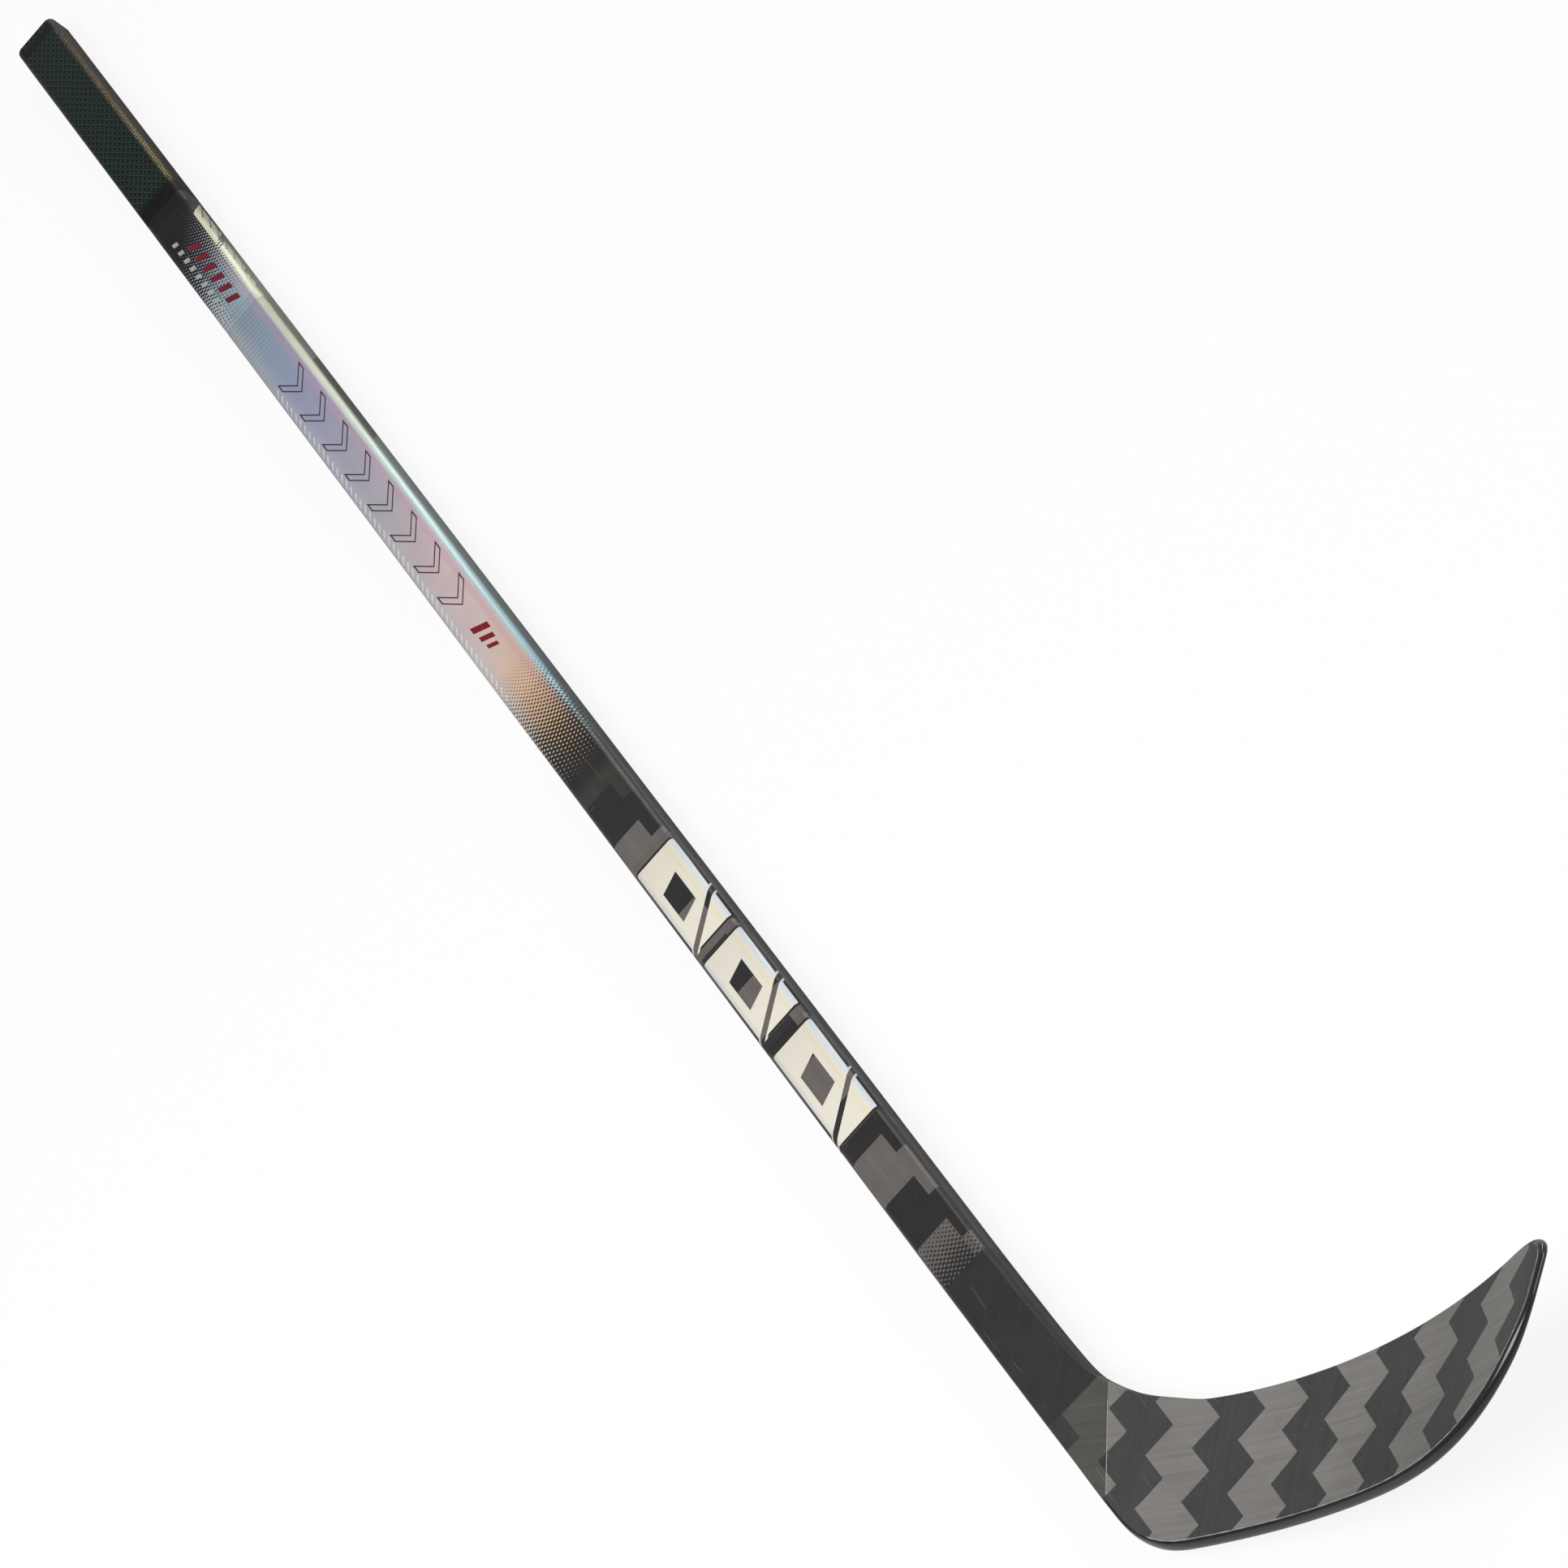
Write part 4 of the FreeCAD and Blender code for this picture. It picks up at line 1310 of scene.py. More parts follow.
@dataclass(frozen=True)
class Outline:
    """The stick's lower end laid out flat, in millimetres: A runs along the sole and B up the face."""

    shaft_width: float = 30.5
    middle: float = 10.0
    lie: float = 45.0
    heel_radius: float = 60.0
    throat_radius: float = 125.0
    throat_start: float = 127.0
    throat_flare: float = 1.2
    run: float = 273.0
    blade_start: float = 26.0
    blade_straight: float = 61.0
    tip_start: float = 260.0
    tip_thinning: float = 0.35
    height: float = 72.8
    top_rise_start: float = 35.0
    top_rise_run: float = 200.0
    top_rise: float = 21.0
    top_rise_power: float = 1.7
    tip_drop: float = 22.0
    tip_run: float = 35.0
    rocker_start: float = 20.0
    rocker: float = 6.0
    rocker_power: float = 1.15
    toe_rise: float = 58.0
    toe_run: float = 133.0
    toe_power: float = 2.6
    turn_steady: float = 31.8
    turn_growing: float = 5.0
    opening: float = 6.0
    blade_lift: float = 2.3
    heel_thick: float = 8.0
    toe_thick: float = 5.0
    heel_place: float = 762.0
    art_start: float = 4.4
    art_shrink: float = 0.032

    def flat(self, x: float, y: float) -> Vector:
        """Turns a place in the shaft's plane, from the heel point, into A and B."""
        up = y + self.shaft_width / 2
        return Vector(((x + up) / math.sqrt(2), (up - x) / math.sqrt(2)))

    def art(self, place: Vector) -> tuple[float, float]:
        """Gives the artwork's along and across for A and B."""
        run = place.x - self.art_shrink * max(0.0, place.x - self.art_start)
        along = (run - place.y) / math.sqrt(2) + self.heel_place
        return along, (run + place.y) / math.sqrt(2) - self.shaft_width / 2

    def throat(self, angle: float) -> Vector:
        """A point on the inner curve, at degrees from its start."""
        turn = math.radians(angle)
        top = self.shaft_width / 2 + self.throat_radius
        flare = self.throat_flare * (1 - angle / self.lie)
        x = self.throat_radius * math.sin(turn) - self.throat_start
        return self.flat(x, top - self.throat_radius * math.cos(turn) + flare)

    def heel(self, angle: float) -> Vector:
        """A point on the outside of the heel, at degrees from its start."""
        turn = math.radians(angle)
        start = -self.heel_radius * math.tan(math.radians(self.lie / 2))
        y = self.heel_radius * (1 - math.cos(turn)) - self.shaft_width / 2
        return self.flat(start + self.heel_radius * math.sin(turn), y)

    def sole(self, run: float) -> float:
        """Height of the sole: rocker, then the round of the toe."""
        share = max(0.0, (run - self.rocker_start) / (self.run - self.rocker_start))
        into = min(1.0, max(0.0, (run - self.run + self.toe_run) / self.toe_run))
        return self.rocker * share ** self.rocker_power + self.toe_rise * (
            1 - math.sqrt(1 - into ** self.toe_power)
        )

    def top(self, run: float) -> float:
        """Height of the top edge, with the upper toe corner rounded off."""
        share = max(0.0, (run - self.top_rise_start) / self.top_rise_run)
        into = min(1.0, max(0.0, (run - self.run + self.tip_run) / self.tip_run))
        drop = self.tip_drop * (1 - math.sqrt(1 - into ** 2))
        return self.height + self.top_rise * share ** self.top_rise_power - drop

    def turn(self, run: float) -> float:
        """How far the face has turned to the forehand side, in radians."""
        share = max(0.0, run) / self.run
        return math.radians(self.turn_steady * share + self.turn_growing * share ** 2)

    def line(self) -> list[tuple[float, float]]:
        """The middle surface's way along and its lift, at each millimetre of run."""
        way = [(0.0, 0.0)]
        for step in range(int(self.run) + 2):
            turn = self.turn(step + 0.5)
            way.append((way[-1][0] + math.cos(turn), way[-1][1] + math.sin(turn)))
        return way

    def blade_cut(self, run: float) -> Cut:
        """The cut at a distance along the blade."""
        share = (run - self.blade_start) / (self.run - self.blade_start)
        thick = self.heel_thick + (self.toe_thick - self.heel_thick) * share
        into_toe = max(0.0, (run - self.tip_start) / (self.run - self.tip_start))
        thick *= 1 - self.tip_thinning * into_toe ** 2
        return Cut(Vector((run, self.sole(run))), Vector((run, self.top(run))), thick, lift=self.blade_lift)

    def hosel_keys(self) -> list[Cut]:
        """The main cuts from the shaft to the heel seam."""
        half = self.shaft_width / 2
        flat = self.flat
        return [
            Cut(flat(-205, -half), flat(-205, half), 20.0),
            Cut(flat(-160, -half), flat(-165, half + 0.4), 19.2),
            Cut(flat(-110, -half), flat(-self.throat_start, half + self.throat_flare), 17.6),
            Cut(flat(-70, -half), self.throat(10), 15.6),
            Cut(flat(-34, -half), self.throat(18), 13.6),
        ]

    def heel_keys(self) -> list[Cut]:
        """The main cuts from before the heel seam to where the blade is straight."""
        return [
            *self.hosel_keys()[3:],
            Cut(self.heel(12), self.throat(28), 11.4, lift=0.5),
            Cut(self.heel(29), self.throat(38), 9.4, lift=1.6),
            self.blade_cut(self.blade_start),
            self.blade_cut(self.blade_straight),
        ]


class Flow:
    """Fair curves through main cuts, and the map from the flat layout to space."""

    def __init__(self, outline: Outline) -> None:
        """Keeps the outline and its middle line."""
        self.outline = outline
        self.way = outline.line()

    def between(self, keys: list[Cut], index: int, share: float) -> Cut:
        """A cut between two main cuts, on a curve that also minds their neighbours.

        Args:
            keys: The main cuts.
            index: The first of the two.
            share: How far on to the next.

        Returns:
            The cut.
        """
        before = keys[max(0, index - 1)]
        first = keys[index]
        second = keys[index + 1]
        after = keys[min(len(keys) - 1, index + 2)]

        def fair(read: Callable[[Cut], Vector]) -> Vector:
            """One edge, on a cubic whose slopes allow for uneven spacing."""
            p0, p1, p2, p3 = read(before), read(first), read(second), read(after)
            d0, d1, d2 = (p1 - p0).length, (p2 - p1).length, (p3 - p2).length
            slope_in = (p2 - p0) * (d1 / (d0 + d1))
            slope_out = (p3 - p1) * (d1 / (d1 + d2))
            s = share
            return (
                p1 * (2 * s ** 3 - 3 * s ** 2 + 1) + slope_in * (s ** 3 - 2 * s ** 2 + s)
                + p2 * (3 * s ** 2 - 2 * s ** 3) + slope_out * (s ** 3 - s ** 2)
            )

        thick = first.thick + (second.thick - first.thick) * share
        lift = first.lift + (second.lift - first.lift) * share
        return Cut(fair(lambda cut: cut.foot), fair(lambda cut: cut.head), thick, lift=lift)

    def with_ways_in(self, cuts: list[Cut], free: int) -> list[Cut]:
        """Adds each edge's way in: along the cut where pieces meet, and square to the edge further on.

        Args:
            cuts: The cuts, in order.
            free: How many cuts it takes to turn square.

        Returns:
            The cuts with ways in, scaled so that a length of 1 is 1 mm from the edge.
        """
        made = []
        for index, cut in enumerate(cuts):
            before, after = cuts[max(0, index - 1)], cuts[min(len(cuts) - 1, index + 1)]
            across = (cut.head - cut.foot).normalized()
            share = 1.0 if free == 0 else min(1.0, index / free)
            ways = []
            for edge, way, side in (
                (after.foot - before.foot, across, 1.0), (after.head - before.head, -across, -1.0)
            ):
                edge = edge.normalized()
                square = Vector((-edge.y, edge.x)) * side
                turned = (way * (1 - share) + square * share).normalized()
                ways.append(turned / max(0.45, turned.dot(square)))
            made.append(replace(cut, foot_in=ways[0], head_in=ways[1]))
        return made

    def hosel(self, steps: int) -> list[Cut]:
        """Fine cuts of the hosel; its ways in stay along the cuts."""
        keys = self.outline.hosel_keys() + self.outline.heel_keys()[2:3]
        last = len(self.outline.hosel_keys()) - 1
        cuts = [self.between(keys, index, step / steps) for index in range(last) for step in range(steps)]
        cuts.append(keys[last])
        return [replace(cut, foot_in=self.along(cut, 1.0), head_in=self.along(cut, -1.0)) for cut in cuts]

    def along(self, cut: Cut, side: float) -> Vector:
        """The way in along a cut, scaled to 1 mm square to the shaft's edge."""
        across = (cut.head - cut.foot).normalized() * side
        square = (self.outline.flat(0, 1) - self.outline.flat(0, 0)).normalized()
        return across / max(0.45, abs(across.dot(square)))

    def blade(self, steps: int, toe_steps: int) -> list[Cut]:
        """Fine cuts from the heel seam to the tip of the toe, closer together towards the tip."""
        keys = self.outline.heel_keys()
        cuts = [self.between(keys, index, step / steps) for index in (1, 2, 3) for step in range(steps)]
        start = self.outline.blade_start
        reach = self.outline.run - start
        for step in range(toe_steps + 1):
            cuts.append(self.outline.blade_cut(start + reach * math.sin(math.pi / 2 * step / toe_steps)))
        return self.with_ways_in(cuts, 3 * steps)

    def place(self, flat: Vector, depth: float) -> Vector:
        """Puts a flat place into space.

        Args:
            flat: A and B, in millimetres.
            depth: How far in front of the middle surface.

        Returns:
            The point, in metres, in the frame's axes.
        """
        outline = self.outline
        run = flat.x
        whole = min(max(int(run), 0), len(self.way) - 2)
        first, second = self.way[whole], self.way[whole + 1]
        share = run - whole
        along = first[0] + (second[0] - first[0]) * share if run > 0 else run
        lift = first[1] + (second[1] - first[1]) * share if run > 0 else 0.0
        lie = math.radians(outline.lie)
        sole_way = Vector((math.cos(lie), math.sin(lie), 0))
        rise_way = Vector((-math.sin(lie), math.cos(lie), 0))
        turn = outline.turn(run)
        opening = math.radians(outline.opening) * max(0.0, run) / outline.run
        tangent = sole_way * math.cos(turn) + Vector((0, 0, math.sin(turn)))
        square = sole_way * -math.sin(turn) + Vector((0, 0, math.cos(turn)))
        up = rise_way * math.cos(opening) - square * math.sin(opening)
        origin = Vector((outline.heel_place, -outline.shaft_width / 2, outline.middle))
        foot = origin + sole_way * along + Vector((0, 0, lift))
        return (foot + up * flat.y + tangent.cross(up) * depth) * MM


class Sheet:
    """Points on a grid with their artwork places, which becomes a shell with a wall."""

    def __init__(self) -> None:
        """Starts empty."""
        self.points: list[Vector] = []
        self.places: list[tuple[float, float]] = []
        self.rows: list[list[int]] = []

    def add_row(self, spots: list[tuple[Vector, tuple[float, float]]]) -> None:
        """Adds a row of points with their artwork places."""
        start = len(self.points)
        self.points += [point for point, _ in spots]
        self.places += [place for _, place in spots]
        self.rows.append(list(range(start, start + len(spots))))

    def finish(self, name: str, closed: bool, wall: float, flip: bool) -> bpy.types.Object:
        """Joins neighbouring rows, gives the shell its wall, and lays the artwork on it.

        Args:
            name: The piece's name.
            closed: Whether each row is a ring.
            wall: Its wall, inward, in millimetres.
            flip: Whether the faces are turned over.

        Returns:
            The piece.
        """
        faces = []
        for first, second in zip(self.rows, self.rows[1:]):
            count = len(first)
            for index in range(count if closed else count - 1):
                after = (index + 1) % count
                face = (first[index], second[index], second[after], first[after])
                faces.append(face[::-1] if flip else face)
        made = mesh_piece(name, self.points, faces)
        layer = made.data.uv_layers.new(name="art")
        for loop in made.data.loops:
            along, across = self.places[loop.vertex_index]
            layer.data[loop.index].uv = (along * MM, across * MM)
        if wall:
            modify(made, "SOLIDIFY", thickness=wall * MM, offset=-1.0, use_rim=True, use_even_offset=False)
        return made


@dataclass
class Hosel:
    """The carbon wrap from the shaft down to the heel seam."""

    flow: Flow
    steps: int = 9
    arc_steps: int = 8
    corner: float = 4.5
    end_reach: float = 1.5
    end_depth: float = 5.0
    wall: float = 1.1

    def ring(self, cut: Cut, reach: float, corner: float) -> list[tuple[Vector, tuple[float, float]]]:
        """The section's points with their artwork places, round from the sole side's back corner.

        Args:
            cut: The cut.
            reach: How far in from the edge each corner starts.
            corner: How deep each corner goes.

        Returns:
            The ring.
        """
        half = cut.thick / 2
        spots = []
        quarter = [math.pi / 2 * step / self.arc_steps for step in range(self.arc_steps + 1)]
        front = [(1 - math.sin(angle), half - corner * (1 - math.cos(angle))) for angle in quarter]
        low = front + [(inward, -depth) for inward, depth in front[::-1]]
        for side, inward, depth in [(0, *spot) for spot in low] + [(1, *spot) for spot in low[::-1]]:
            edge, way = ((cut.foot, cut.foot_in), (cut.head, cut.head_in))[side]
            flat = edge + way * (inward * reach)
            along, across = self.flow.outline.art(flat)
            beyond = (half - depth) * (1 if side else -1)
            place = self.flow.place(flat, depth + cut.lift)
            spots.append((place, (along, across + beyond * (inward < 0.999))))
        return spots

    def build(self) -> None:
        """Lofts the wrap."""
        cuts = self.flow.hosel(self.steps)
        sheet = Sheet()
        for index, cut in enumerate(cuts):
            share = index / (len(cuts) - 1)
            reach = self.corner + (self.end_reach - self.corner) * share
            sheet.add_row(self.ring(cut, reach, self.corner + (self.end_depth - self.corner) * share))
        made = sheet.finish("hosel_skin", True, self.wall, True)
        hand_over(made, FINISH.hosel, "hosel_carbon", ("hosel_wrap",))


@dataclass
class Rim:
    """The edge bands that run along the sole, round the toe and back along the top."""

    flow: Flow
    cuts: list[Cut]
    toe_edge_steps: int = 8
    arc_steps: int = 7
    wall: float = 0.8
    sole_lip: float = 2.0
    toe_lip: float = 3.2
    top_lip: float = 2.4
    widening_start: float = 190.0
    widening_run: float = 60.0
    sole_end: float = 250.0
    top_end: float = 262.0
    heel_cuts: int = 24
    heel_depth: float = 5.0
    proud: float = 0.14

    def track(self) -> list[tuple[Vector, Vector, float, float, int]]:
        """Walks the outline: each place, its way in, half the thickness, the lip, and the cut's number."""
        walk = []
        last = self.cuts[-1]
        count = len(self.cuts)
        for index, cut in enumerate(self.cuts):
            walk.append((cut.foot, cut.foot_in, cut.thick / 2, self.lip(cut.foot.x, True), index))
        for step in range(1, self.toe_edge_steps):
            edge = last.foot + (last.head - last.foot) * (step / self.toe_edge_steps)
            walk.append((edge, Vector((-1, 0)), last.thick / 2, self.toe_lip, count - 1))
        for index in range(count - 1, -1, -1):
            cut = self.cuts[index]
            walk.append((cut.head, cut.head_in, cut.thick / 2, self.lip(cut.head.x, False), index))
        return walk

    def lip(self, run: float, on_sole: bool) -> float:
        """How far the band reaches over the face, which is more at the toe."""
        start = self.sole_lip if on_sole else self.top_lip
        into = min(1.0, max(0.0, (run - self.widening_start) / self.widening_run))
        return start + (self.toe_lip - start) * into

    def strip(self, name: str, first: int, last: int, proud: float) -> bpy.types.Object:
        """Sweeps the band's round section along part of the walk.

        Args:
            name: The piece's name.
            first: First step of the walk.
            last: Last step.
            proud: How far the lip stands above the face.

        Returns:
            The band.
        """
        sheet = Sheet()
        quarter = [math.pi / 2 * step / self.arc_steps for step in range(self.arc_steps + 1)]
        for edge, way, half, lip, index in self.track()[first:last + 1]:
            blend = min(1.0, index / self.heel_cuts)
            nose = lip - 0.5 + 0.15 * blend
            round_depth = self.heel_depth + (half - self.heel_depth) * blend
            profile = [(lip, half), (lip - 0.12, half + proud)] if proud else [(lip, half)]
            profile += [
                (nose * (1 - math.sin(angle)), half + proud - round_depth * (1 - math.cos(angle)))
                for angle in quarter
            ]
            profile += [(inward, -depth) for inward, depth in profile[::-1]]
            spots = []
            for inward, depth in profile:
                flat = edge + way * inward
                along, across = self.flow.outline.art(flat)
                place = self.flow.place(flat, depth + self.cuts[index].lift)
                spots.append((place, (along, across + (half - depth) * 0.7)))
            sheet.add_row(spots)
        return sheet.finish(name, False, self.wall, True)

    def build(self) -> None:
        """Makes the sole band, the toe bumper and the top band, end to end."""
        count = len(self.cuts)
        toe = next(index for index, cut in enumerate(self.cuts) if cut.foot.x > self.sole_end)
        top = next(index for index, cut in enumerate(self.cuts) if cut.head.x > self.top_end)
        turn_back = 2 * count + self.toe_edge_steps - 2 - top
        end = 2 * count + self.toe_edge_steps - 2
        hand_over(self.strip("sole_band", 0, toe, self.proud), FINISH.rim, "rim_resin", ("sole_rim",))
        hand_over(self.strip("toe_bumper", toe, turn_back, self.proud), FINISH.rim, "rim_resin", ("toe_cap",))
        hand_over(self.strip("top_band", turn_back, end, 0.0), FINISH.blade, "rim_resin", ("top_rim",))


@dataclass
class Bead:
    """A thin, uneven bead of resin laid along a line on the surface."""

    radius: float = 0.3
    sides: int = 6
    uneven: float = 0.45

    def make(self, name: str, line: list[Vector], ups: list[Vector]) -> bpy.types.Object:
        """Sweeps a small ring along the line.

        Args:
            name: The piece's name.
            line: Its middle line, in metres.
            ups: The surface's normal at each place.

        Returns:
            The bead.
        """
        sheet = Sheet()
        last = len(line) - 1
        for index, (place, up) in enumerate(zip(line, ups)):
            way = (line[min(last, index + 1)] - line[max(0, index - 1)]).normalized()
            side = way.cross(up).normalized()
            swell = math.sin(index * 1.7) * 0.5 + math.sin(index * 0.61 + 2.0) * 0.35
            swell += math.sin(index * 4.1) * 0.15
            end = 0.1 if index in (0, last) else 1.0
            radius = self.radius * (1 + self.uneven * swell) * end * MM
            spots = []
            for step in range(self.sides):
                angle = math.tau * step / self.sides
                offset = side * math.cos(angle) * radius * 1.3 + up * math.sin(angle) * radius
                spots.append((place + offset, (index * 1.5, angle)))
            sheet.add_row(spots)
        made = sheet.finish(name, True, 0.0, False)
        with editing(made):
            pick(made, SelectKind.EDGE, lambda edge: edge.is_boundary)
            bpy.ops.mesh.edge_face_add()
            bpy.ops.mesh.select_all(action="SELECT")
            bpy.ops.mesh.normals_make_consistent(inside=False)
        return made


@dataclass
class Blade:
    """Both fabric faces, the edge bands and the resin beads along the seams."""

    flow: Flow
    columns: int = 44
    steps: int = 8
    toe_steps: int = 130
    wall: float = 0.8

    def face(self, name: str, cuts: list[Cut], rim: Rim, front: bool) -> bpy.types.Object:
        """One face as a grid of columns that end under the bands.

        Args:
            name: The piece's name.
            cuts: The blade's cuts.
            rim: The bands, which say how far they reach in.
            front: Whether it is the forehand face.

        Returns:
            The face.
        """
        sheet = Sheet()
        side = 1 if front else -1
        for cut in cuts:
            low = cut.foot + cut.foot_in * (rim.lip(cut.foot.x, True) - 0.25)
            high = cut.head + cut.head_in * (rim.lip(cut.head.x, False) - 0.02)
            spots = []
            for column in range(self.columns + 1):
                flat = low.lerp(high, column / self.columns)
                depth = side * cut.thick / 2 + cut.lift
                spots.append((self.flow.place(flat, depth), self.flow.outline.art(flat)))
            sheet.add_row(spots)
        return sheet.finish(name, False, self.wall, not front)

    def build(self) -> None:
        """Builds the faces, the bands and the beads."""
        cuts = self.flow.blade(self.steps, self.toe_steps)
        rim = Rim(self.flow, cuts)
        front = self.face("forehand_face", cuts, rim, True)
        back = self.face("backhand_face", cuts, rim, False)
        hand_over(front, FINISH.blade, "blade_fabric", ("forehand_skin",))
        hand_over(back, FINISH.blade, "blade_fabric", ("backhand_skin",))
        rim.build()
        self.beads(rim)

    def beads(self, rim: Rim) -> None:
        """Beads along the forehand sole seam and the hosel's last ply edge across the heel, coloured pale grey
        as a painted highlight.
        """
        seam = [spot for spot in rim.track() if spot[0].x > 0][: len(rim.cuts) + rim.toe_edge_steps]
        flats = [edge + way * (lip + 0.05) for edge, way, _, lip, _ in seam]
        fronts = [half + rim.cuts[index].lift for _, _, half, _, index in seam]
        line = [self.flow.place(flat, front + 0.05) for flat, front in zip(flats, fronts)]
        ups = [(self.flow.place(flat, 5.0) - self.flow.place(flat, 0.0)).normalized() for flat in flats]
        # The sole bead's pale grey is a painted highlight.
        hand_over(Bead(radius=0.24).make("sole_bead", line, ups), FINISH.bead, "rim_resin", angle=80.0)
        heel = rim.cuts[0]
        steps = 40
        flats = [heel.foot.lerp(heel.head, 0.08 + 0.76 * step / steps) for step in range(steps + 1)]
        line = [self.flow.place(flat, heel.thick / 2) for flat in flats]
        edge = Bead(radius=0.22, uneven=0.25).make("heel_ply_edge", line, [Vector((0, 0, 1))] * len(line))
        # The heel ply edge's pale grey is a painted highlight.
        hand_over(edge, FINISH.bead, "hosel_carbon", angle=80.0)


# ---------------------------------------------------------------------------------------------
# Raised artwork, core and studio
# ---------------------------------------------------------------------------------------------


@dataclass
class Mark:
    """A flat raised mark on the forehand side of the shaft, drawn as a closed line of corners."""

    name: str
    corners: list[tuple[float, float]]
    finish: Finish
    slot: str
    height: float = 0.1
    outline: float = 0.0
    top: float = 20.05

    def stamp(self, name: str, shift: float, size: float) -> bpy.types.Object:
        """Makes one mark, from a flat face that is inset and thickened.

        Args:
            name: The piece's name.
            shift: How far along it goes, in millimetres.
            size: Its size against the drawn one.

        Returns:
            The mark.
        """
        points = [Vector(((u * size + shift) * MM, v * size * MM, self.top * MM)) for u, v in self.corners]
        made = mesh_piece(name, points, [tuple(range(len(points)))])
        if self.outline:
            with editing(made):
                pick(made, SelectKind.FACE, lambda face: True)
                bpy.ops.mesh.inset(thickness=self.outline * MM)
                bpy.ops.mesh.delete(type="FACE")
        offset = 1.0 if self.faces_up(made) else -1.0
        modify(made, "SOLIDIFY", thickness=(self.height + 0.05) * MM, offset=offset)
        return made

    def faces_up(self, piece: bpy.types.Object) -> bool:
        """Says whether the flat mark's normals point up."""
        return piece.data.polygons[0].normal.z > 0

    def repeat(self, places: list[tuple[float, float]]) -> None:
        """Makes the mark once, copies it to every place with its own mesh, and joins the row.

        Args:
            places: Shift along and size of each.
        """
        row = [self.stamp(f"{self.name}_{index}", shift, size) for index, (shift, size) in enumerate(places)]
        take_up(*row)
        bpy.ops.object.join()
        row[0].name = self.name
        row[0].data.name = self.name
        with editing(row[0]):
            bpy.ops.mesh.select_all(action="SELECT")
            bpy.ops.mesh.normals_make_consistent(inside=False)
        hand_over(row[0], self.finish, self.slot)


@dataclass
class Artwork:
    """Generic raised marks: chevrons and bars on the foil, bars and ticks on the motif film."""

    chevron_pitch: float = 34.0
    chevrons: int = 8
    stroke: float = 0.65

    def build(self) -> None:
        """Lays out each row of marks."""
        chevron = [(-11, -9), (-3, -9), (11, 0), (-3, 9), (-11, 9), (3, 0)]
        places = [(-322.0 + self.chevron_pitch * index, 1.0) for index in range(self.chevrons)]
        Mark("foil_chevrons", chevron, FINISH.dark, "foil", outline=self.stroke).repeat(places)
        bar = [(-6.5, -5), (-1, -5), (5.5, 5), (0, 5)]
        places = [(-48.0, 1.0), (-38.5, 0.8), (-30.5, 0.62)]
        Mark("foil_bars", bar, FINISH.red, "foil").repeat(places)
        slim = [(-5.2, -3.2), (0.2, -3.2), (5.4, 4.8), (0.0, 4.8)]
        places = [(-484.0 + 12.4 * index, 1.0) for index in range(6)]
        Mark("motif_bars", slim, FINISH.red, "motif_print").repeat(places)
        tick = [(-2.4, -9.3), (1.4, -9.3), (2.8, -5.7), (-1.0, -5.7)]
        places = [(-500.0 + 9.6 * index, 1.0) for index in range(9)]
        Mark("motif_ticks", tick, FINISH.pale, "motif_print").repeat(places)


@dataclass
class Core:
    """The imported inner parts, which keep their meshes and get their finishes."""

    foams: tuple[str, ...] = (
        "foam_core_lower", "foam_core_middle", "foam_core_upper", "hosel_core", "blade_tenon"
    )
    carbons: tuple[str, ...] = ("shaft_liner", "rib_lower", "rib_upper")
    bonds: tuple[str, ...] = ("tenon_bond",)

    def build(self) -> None:
        """Dresses each inner part."""
        dressing = (
            (self.foams, FINISH.foam), (self.carbons, FINISH.inner), (self.bonds, FINISH.adhesive)
        )
        for names, finish in dressing:
            for name in names:
                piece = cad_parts[name]
                for entry in piece.material_slots:
                    entry.material = finish.material()
                LOG.info("%s: dressed", name)


@dataclass(frozen=True)
class PaleFloor(Finish):
    """A pale studio floor that looks evenly lit and still takes a faint shadow."""

    colour: Colour = (0.9, 0.9, 0.9, 1.0)
    glow: float = 0.88
    dim: Colour = (0.42, 0.42, 0.42, 1.0)

    def material(self) -> bpy.types.Material:
        """Mixes an even glow, for the camera only, with plain paper white."""
        made = bpy.data.materials.new(self.name)
        made.use_nodes = True
        made.node_tree.nodes.clear()
        net = Net(made.node_tree)
        seen = Wire(net, net.node("ShaderNodeLightPath").outputs["Is Camera Ray"])
        place = Wire(net, net.node("ShaderNodeTexCoord").outputs["Object"])
        paper = net.noise(place, 3.0, 2.0) * 0.01 + 0.995
        white = net.tone(net.mix(seen, self.dim, self.colour), paper)
        plain = net.node("ShaderNodeBsdfDiffuse", {"Color": white})
        glow = net.node("ShaderNodeEmission", {"Color": (1.0, 1.0, 1.0, 1.0), "Strength": 1.0})
        mixed = net.node("ShaderNodeMixShader", {"Fac": seen * self.glow})
        net.tree.links.new(plain.outputs[0], mixed.inputs[1])
        net.tree.links.new(glow.outputs[0], mixed.inputs[2])
        net.node("ShaderNodeOutputMaterial", {"Surface": Wire(net, mixed.outputs[0])})
        return made


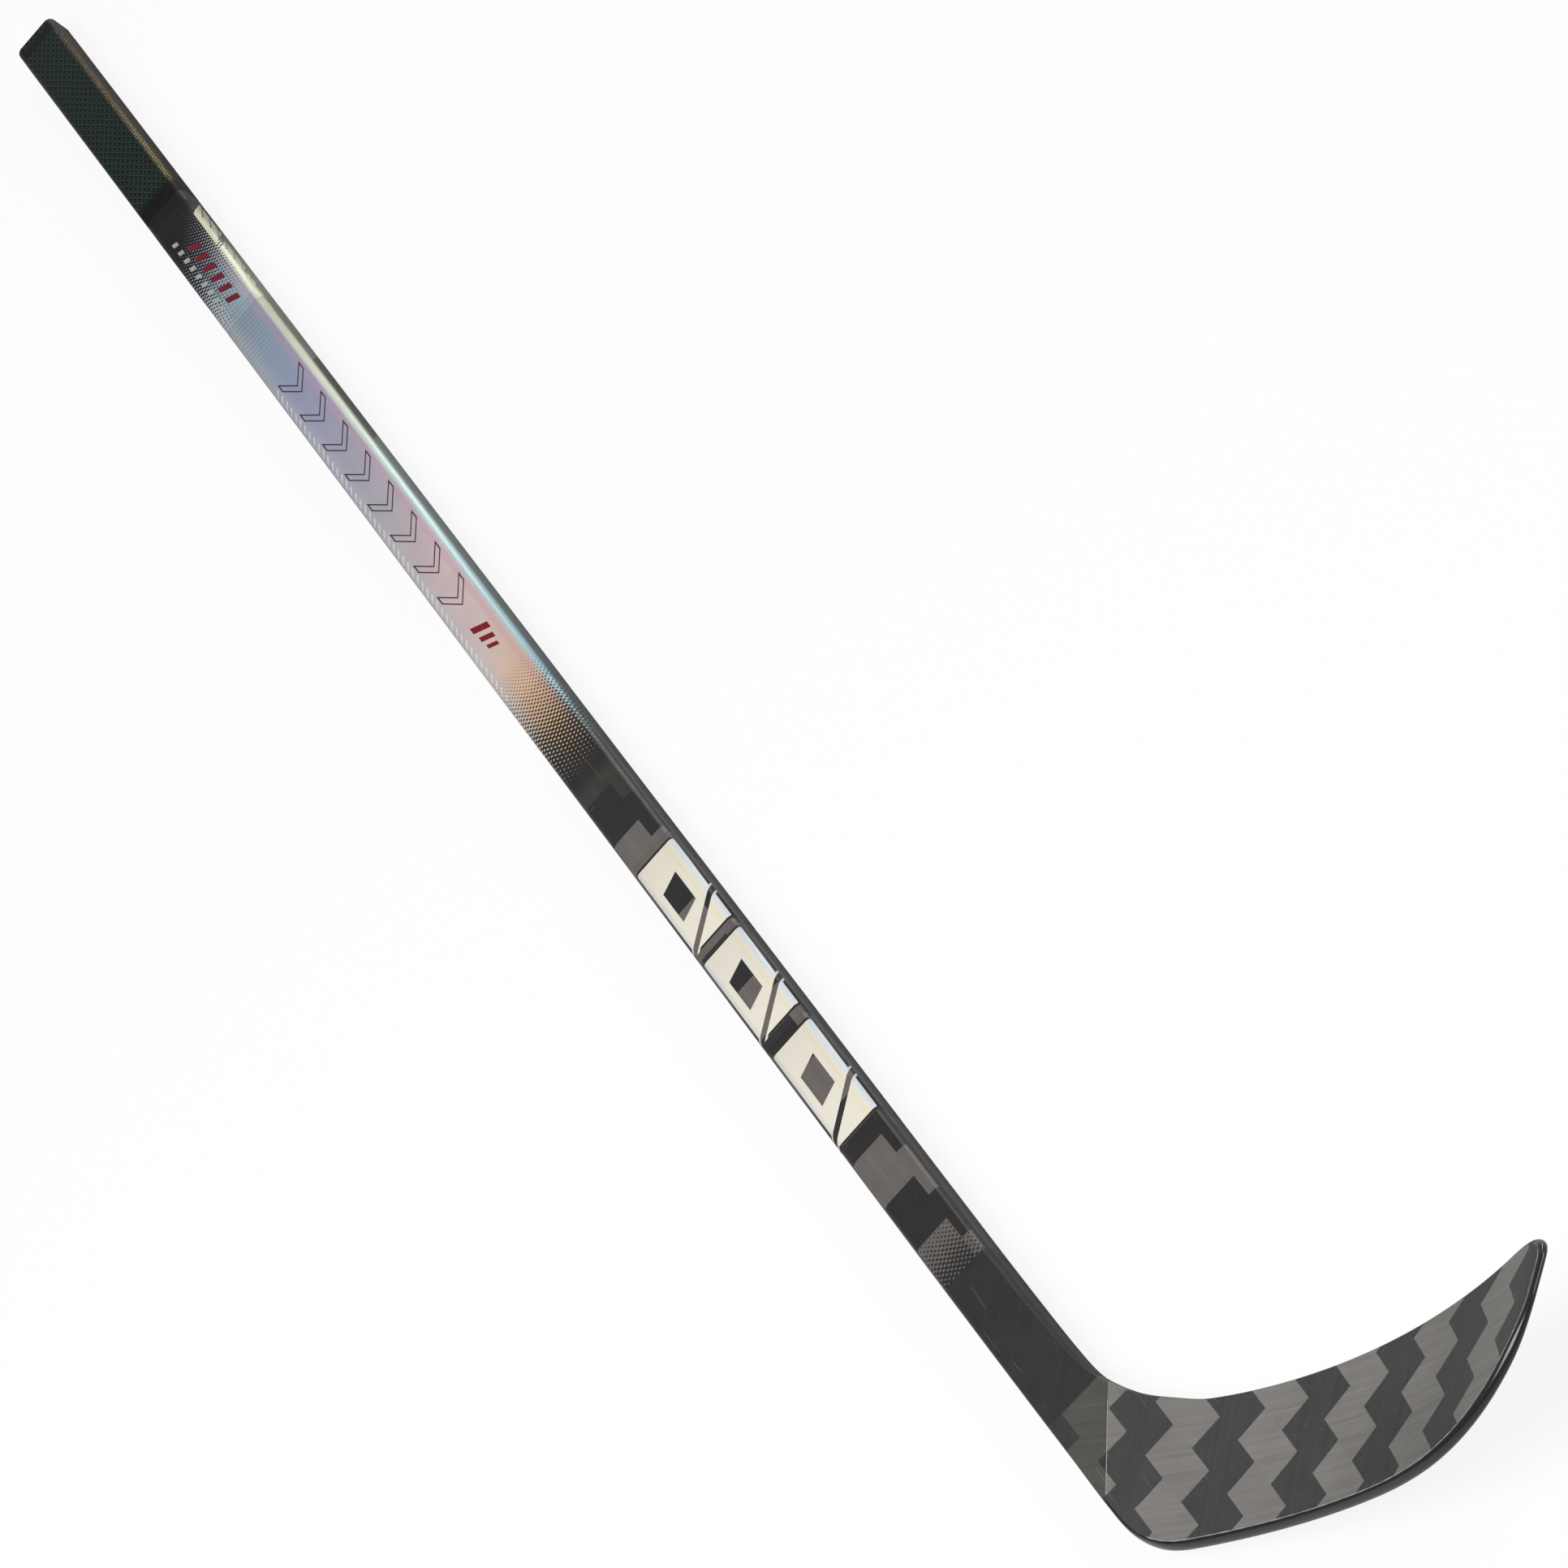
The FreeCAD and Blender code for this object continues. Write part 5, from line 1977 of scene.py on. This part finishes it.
@dataclass
class Studio:
    """Floor, soft lights, sky and camera."""

    eye: Vector = field(default_factory=lambda: Vector((3.2008, 0.6546, 2.5181)))
    right: Vector = field(default_factory=lambda: Vector((0.4047, 0.6583, -0.6347)))
    down: Vector = field(default_factory=lambda: Vector((0.5118, -0.7382, -0.4393)))
    ahead: Vector = field(default_factory=lambda: Vector((-0.7578, -0.1471, -0.6357)))
    lens: float = 180.3

    def floor(self) -> None:
        """A wide floor just under the stick."""
        bpy.ops.object.select_all(action="DESELECT")
        bpy.ops.mesh.primitive_plane_add(size=24.0, location=(0, 0, -0.0005))
        made = bpy.context.active_object
        made.name = "floor"
        made.data.materials.append(PaleFloor("floor_paper").material())

    def lamp(
        self, name: str, towards: Vector, distance: float, size: tuple[float, float], power: float
    ) -> None:
        """Hangs a soft rectangular lamp that faces the stick.

        Args:
            name: The lamp's name.
            towards: The way to it from the stick.
            distance: How far off it is, in metres.
            size: Its width and height.
            power: Its power, in watts.
        """
        data = bpy.data.lights.new(name, "AREA")
        data.shape = "RECTANGLE"
        data.size, data.size_y = size
        data.energy = power
        made = bpy.data.objects.new(name, data)
        bpy.context.scene.collection.objects.link(made)
        way = towards.normalized()
        made.location = Vector((0.1, 0, 0)) + way * distance
        made.rotation_euler = way.to_track_quat("Z", "Y").to_euler()

    def camera(self) -> None:
        """The camera, with its roll as measured."""
        data = bpy.data.cameras.new("camera")
        data.lens = self.lens
        data.sensor_width = 36.0
        data.clip_start, data.clip_end = 0.05, 60.0
        made = bpy.data.objects.new("camera", data)
        bpy.context.scene.collection.objects.link(made)
        turn = Matrix((self.right, -self.down, -self.ahead)).transposed()
        made.matrix_world = Matrix.Translation(self.eye) @ turn.to_4x4()
        bpy.context.scene.camera = made

    def build(self) -> None:
        """Sets everything up."""
        self.floor()
        self.lamp("key", Vector((0.35, -0.35, 0.9)), 3.2, (2.6, 2.2), 96.0)
        self.lamp("fill", Vector((0.2, 0.9, 0.5)), 3.4, (2.4, 1.2), 32.0)
        self.lamp("ridge_strip", Vector((-0.76, 0.5, 0.3)), 3.0, (0.7, 2.6), 16.0)
        world = bpy.data.worlds.new("sky")
        world.use_nodes = True
        world.node_tree.nodes["Background"].inputs["Color"].default_value = (0.9, 0.93, 1.0, 1.0)
        world.node_tree.nodes["Background"].inputs["Strength"].default_value = 0.2
        bpy.context.scene.world = world
        bpy.context.scene.view_settings.view_transform = "Standard"
        self.camera()


def build_scene() -> None:
    """Builds the stick piece by piece, then the studio."""
    logging.basicConfig(level=logging.INFO, format="%(name)s %(message)s")
    flow = Flow(Outline())
    Shaft().build()
    EndCap().build()
    Hosel(flow).build()
    Blade(flow).build()
    Artwork().build()
    Core().build()
    Studio().build()


if __name__ == "__main__":
    build_scene()
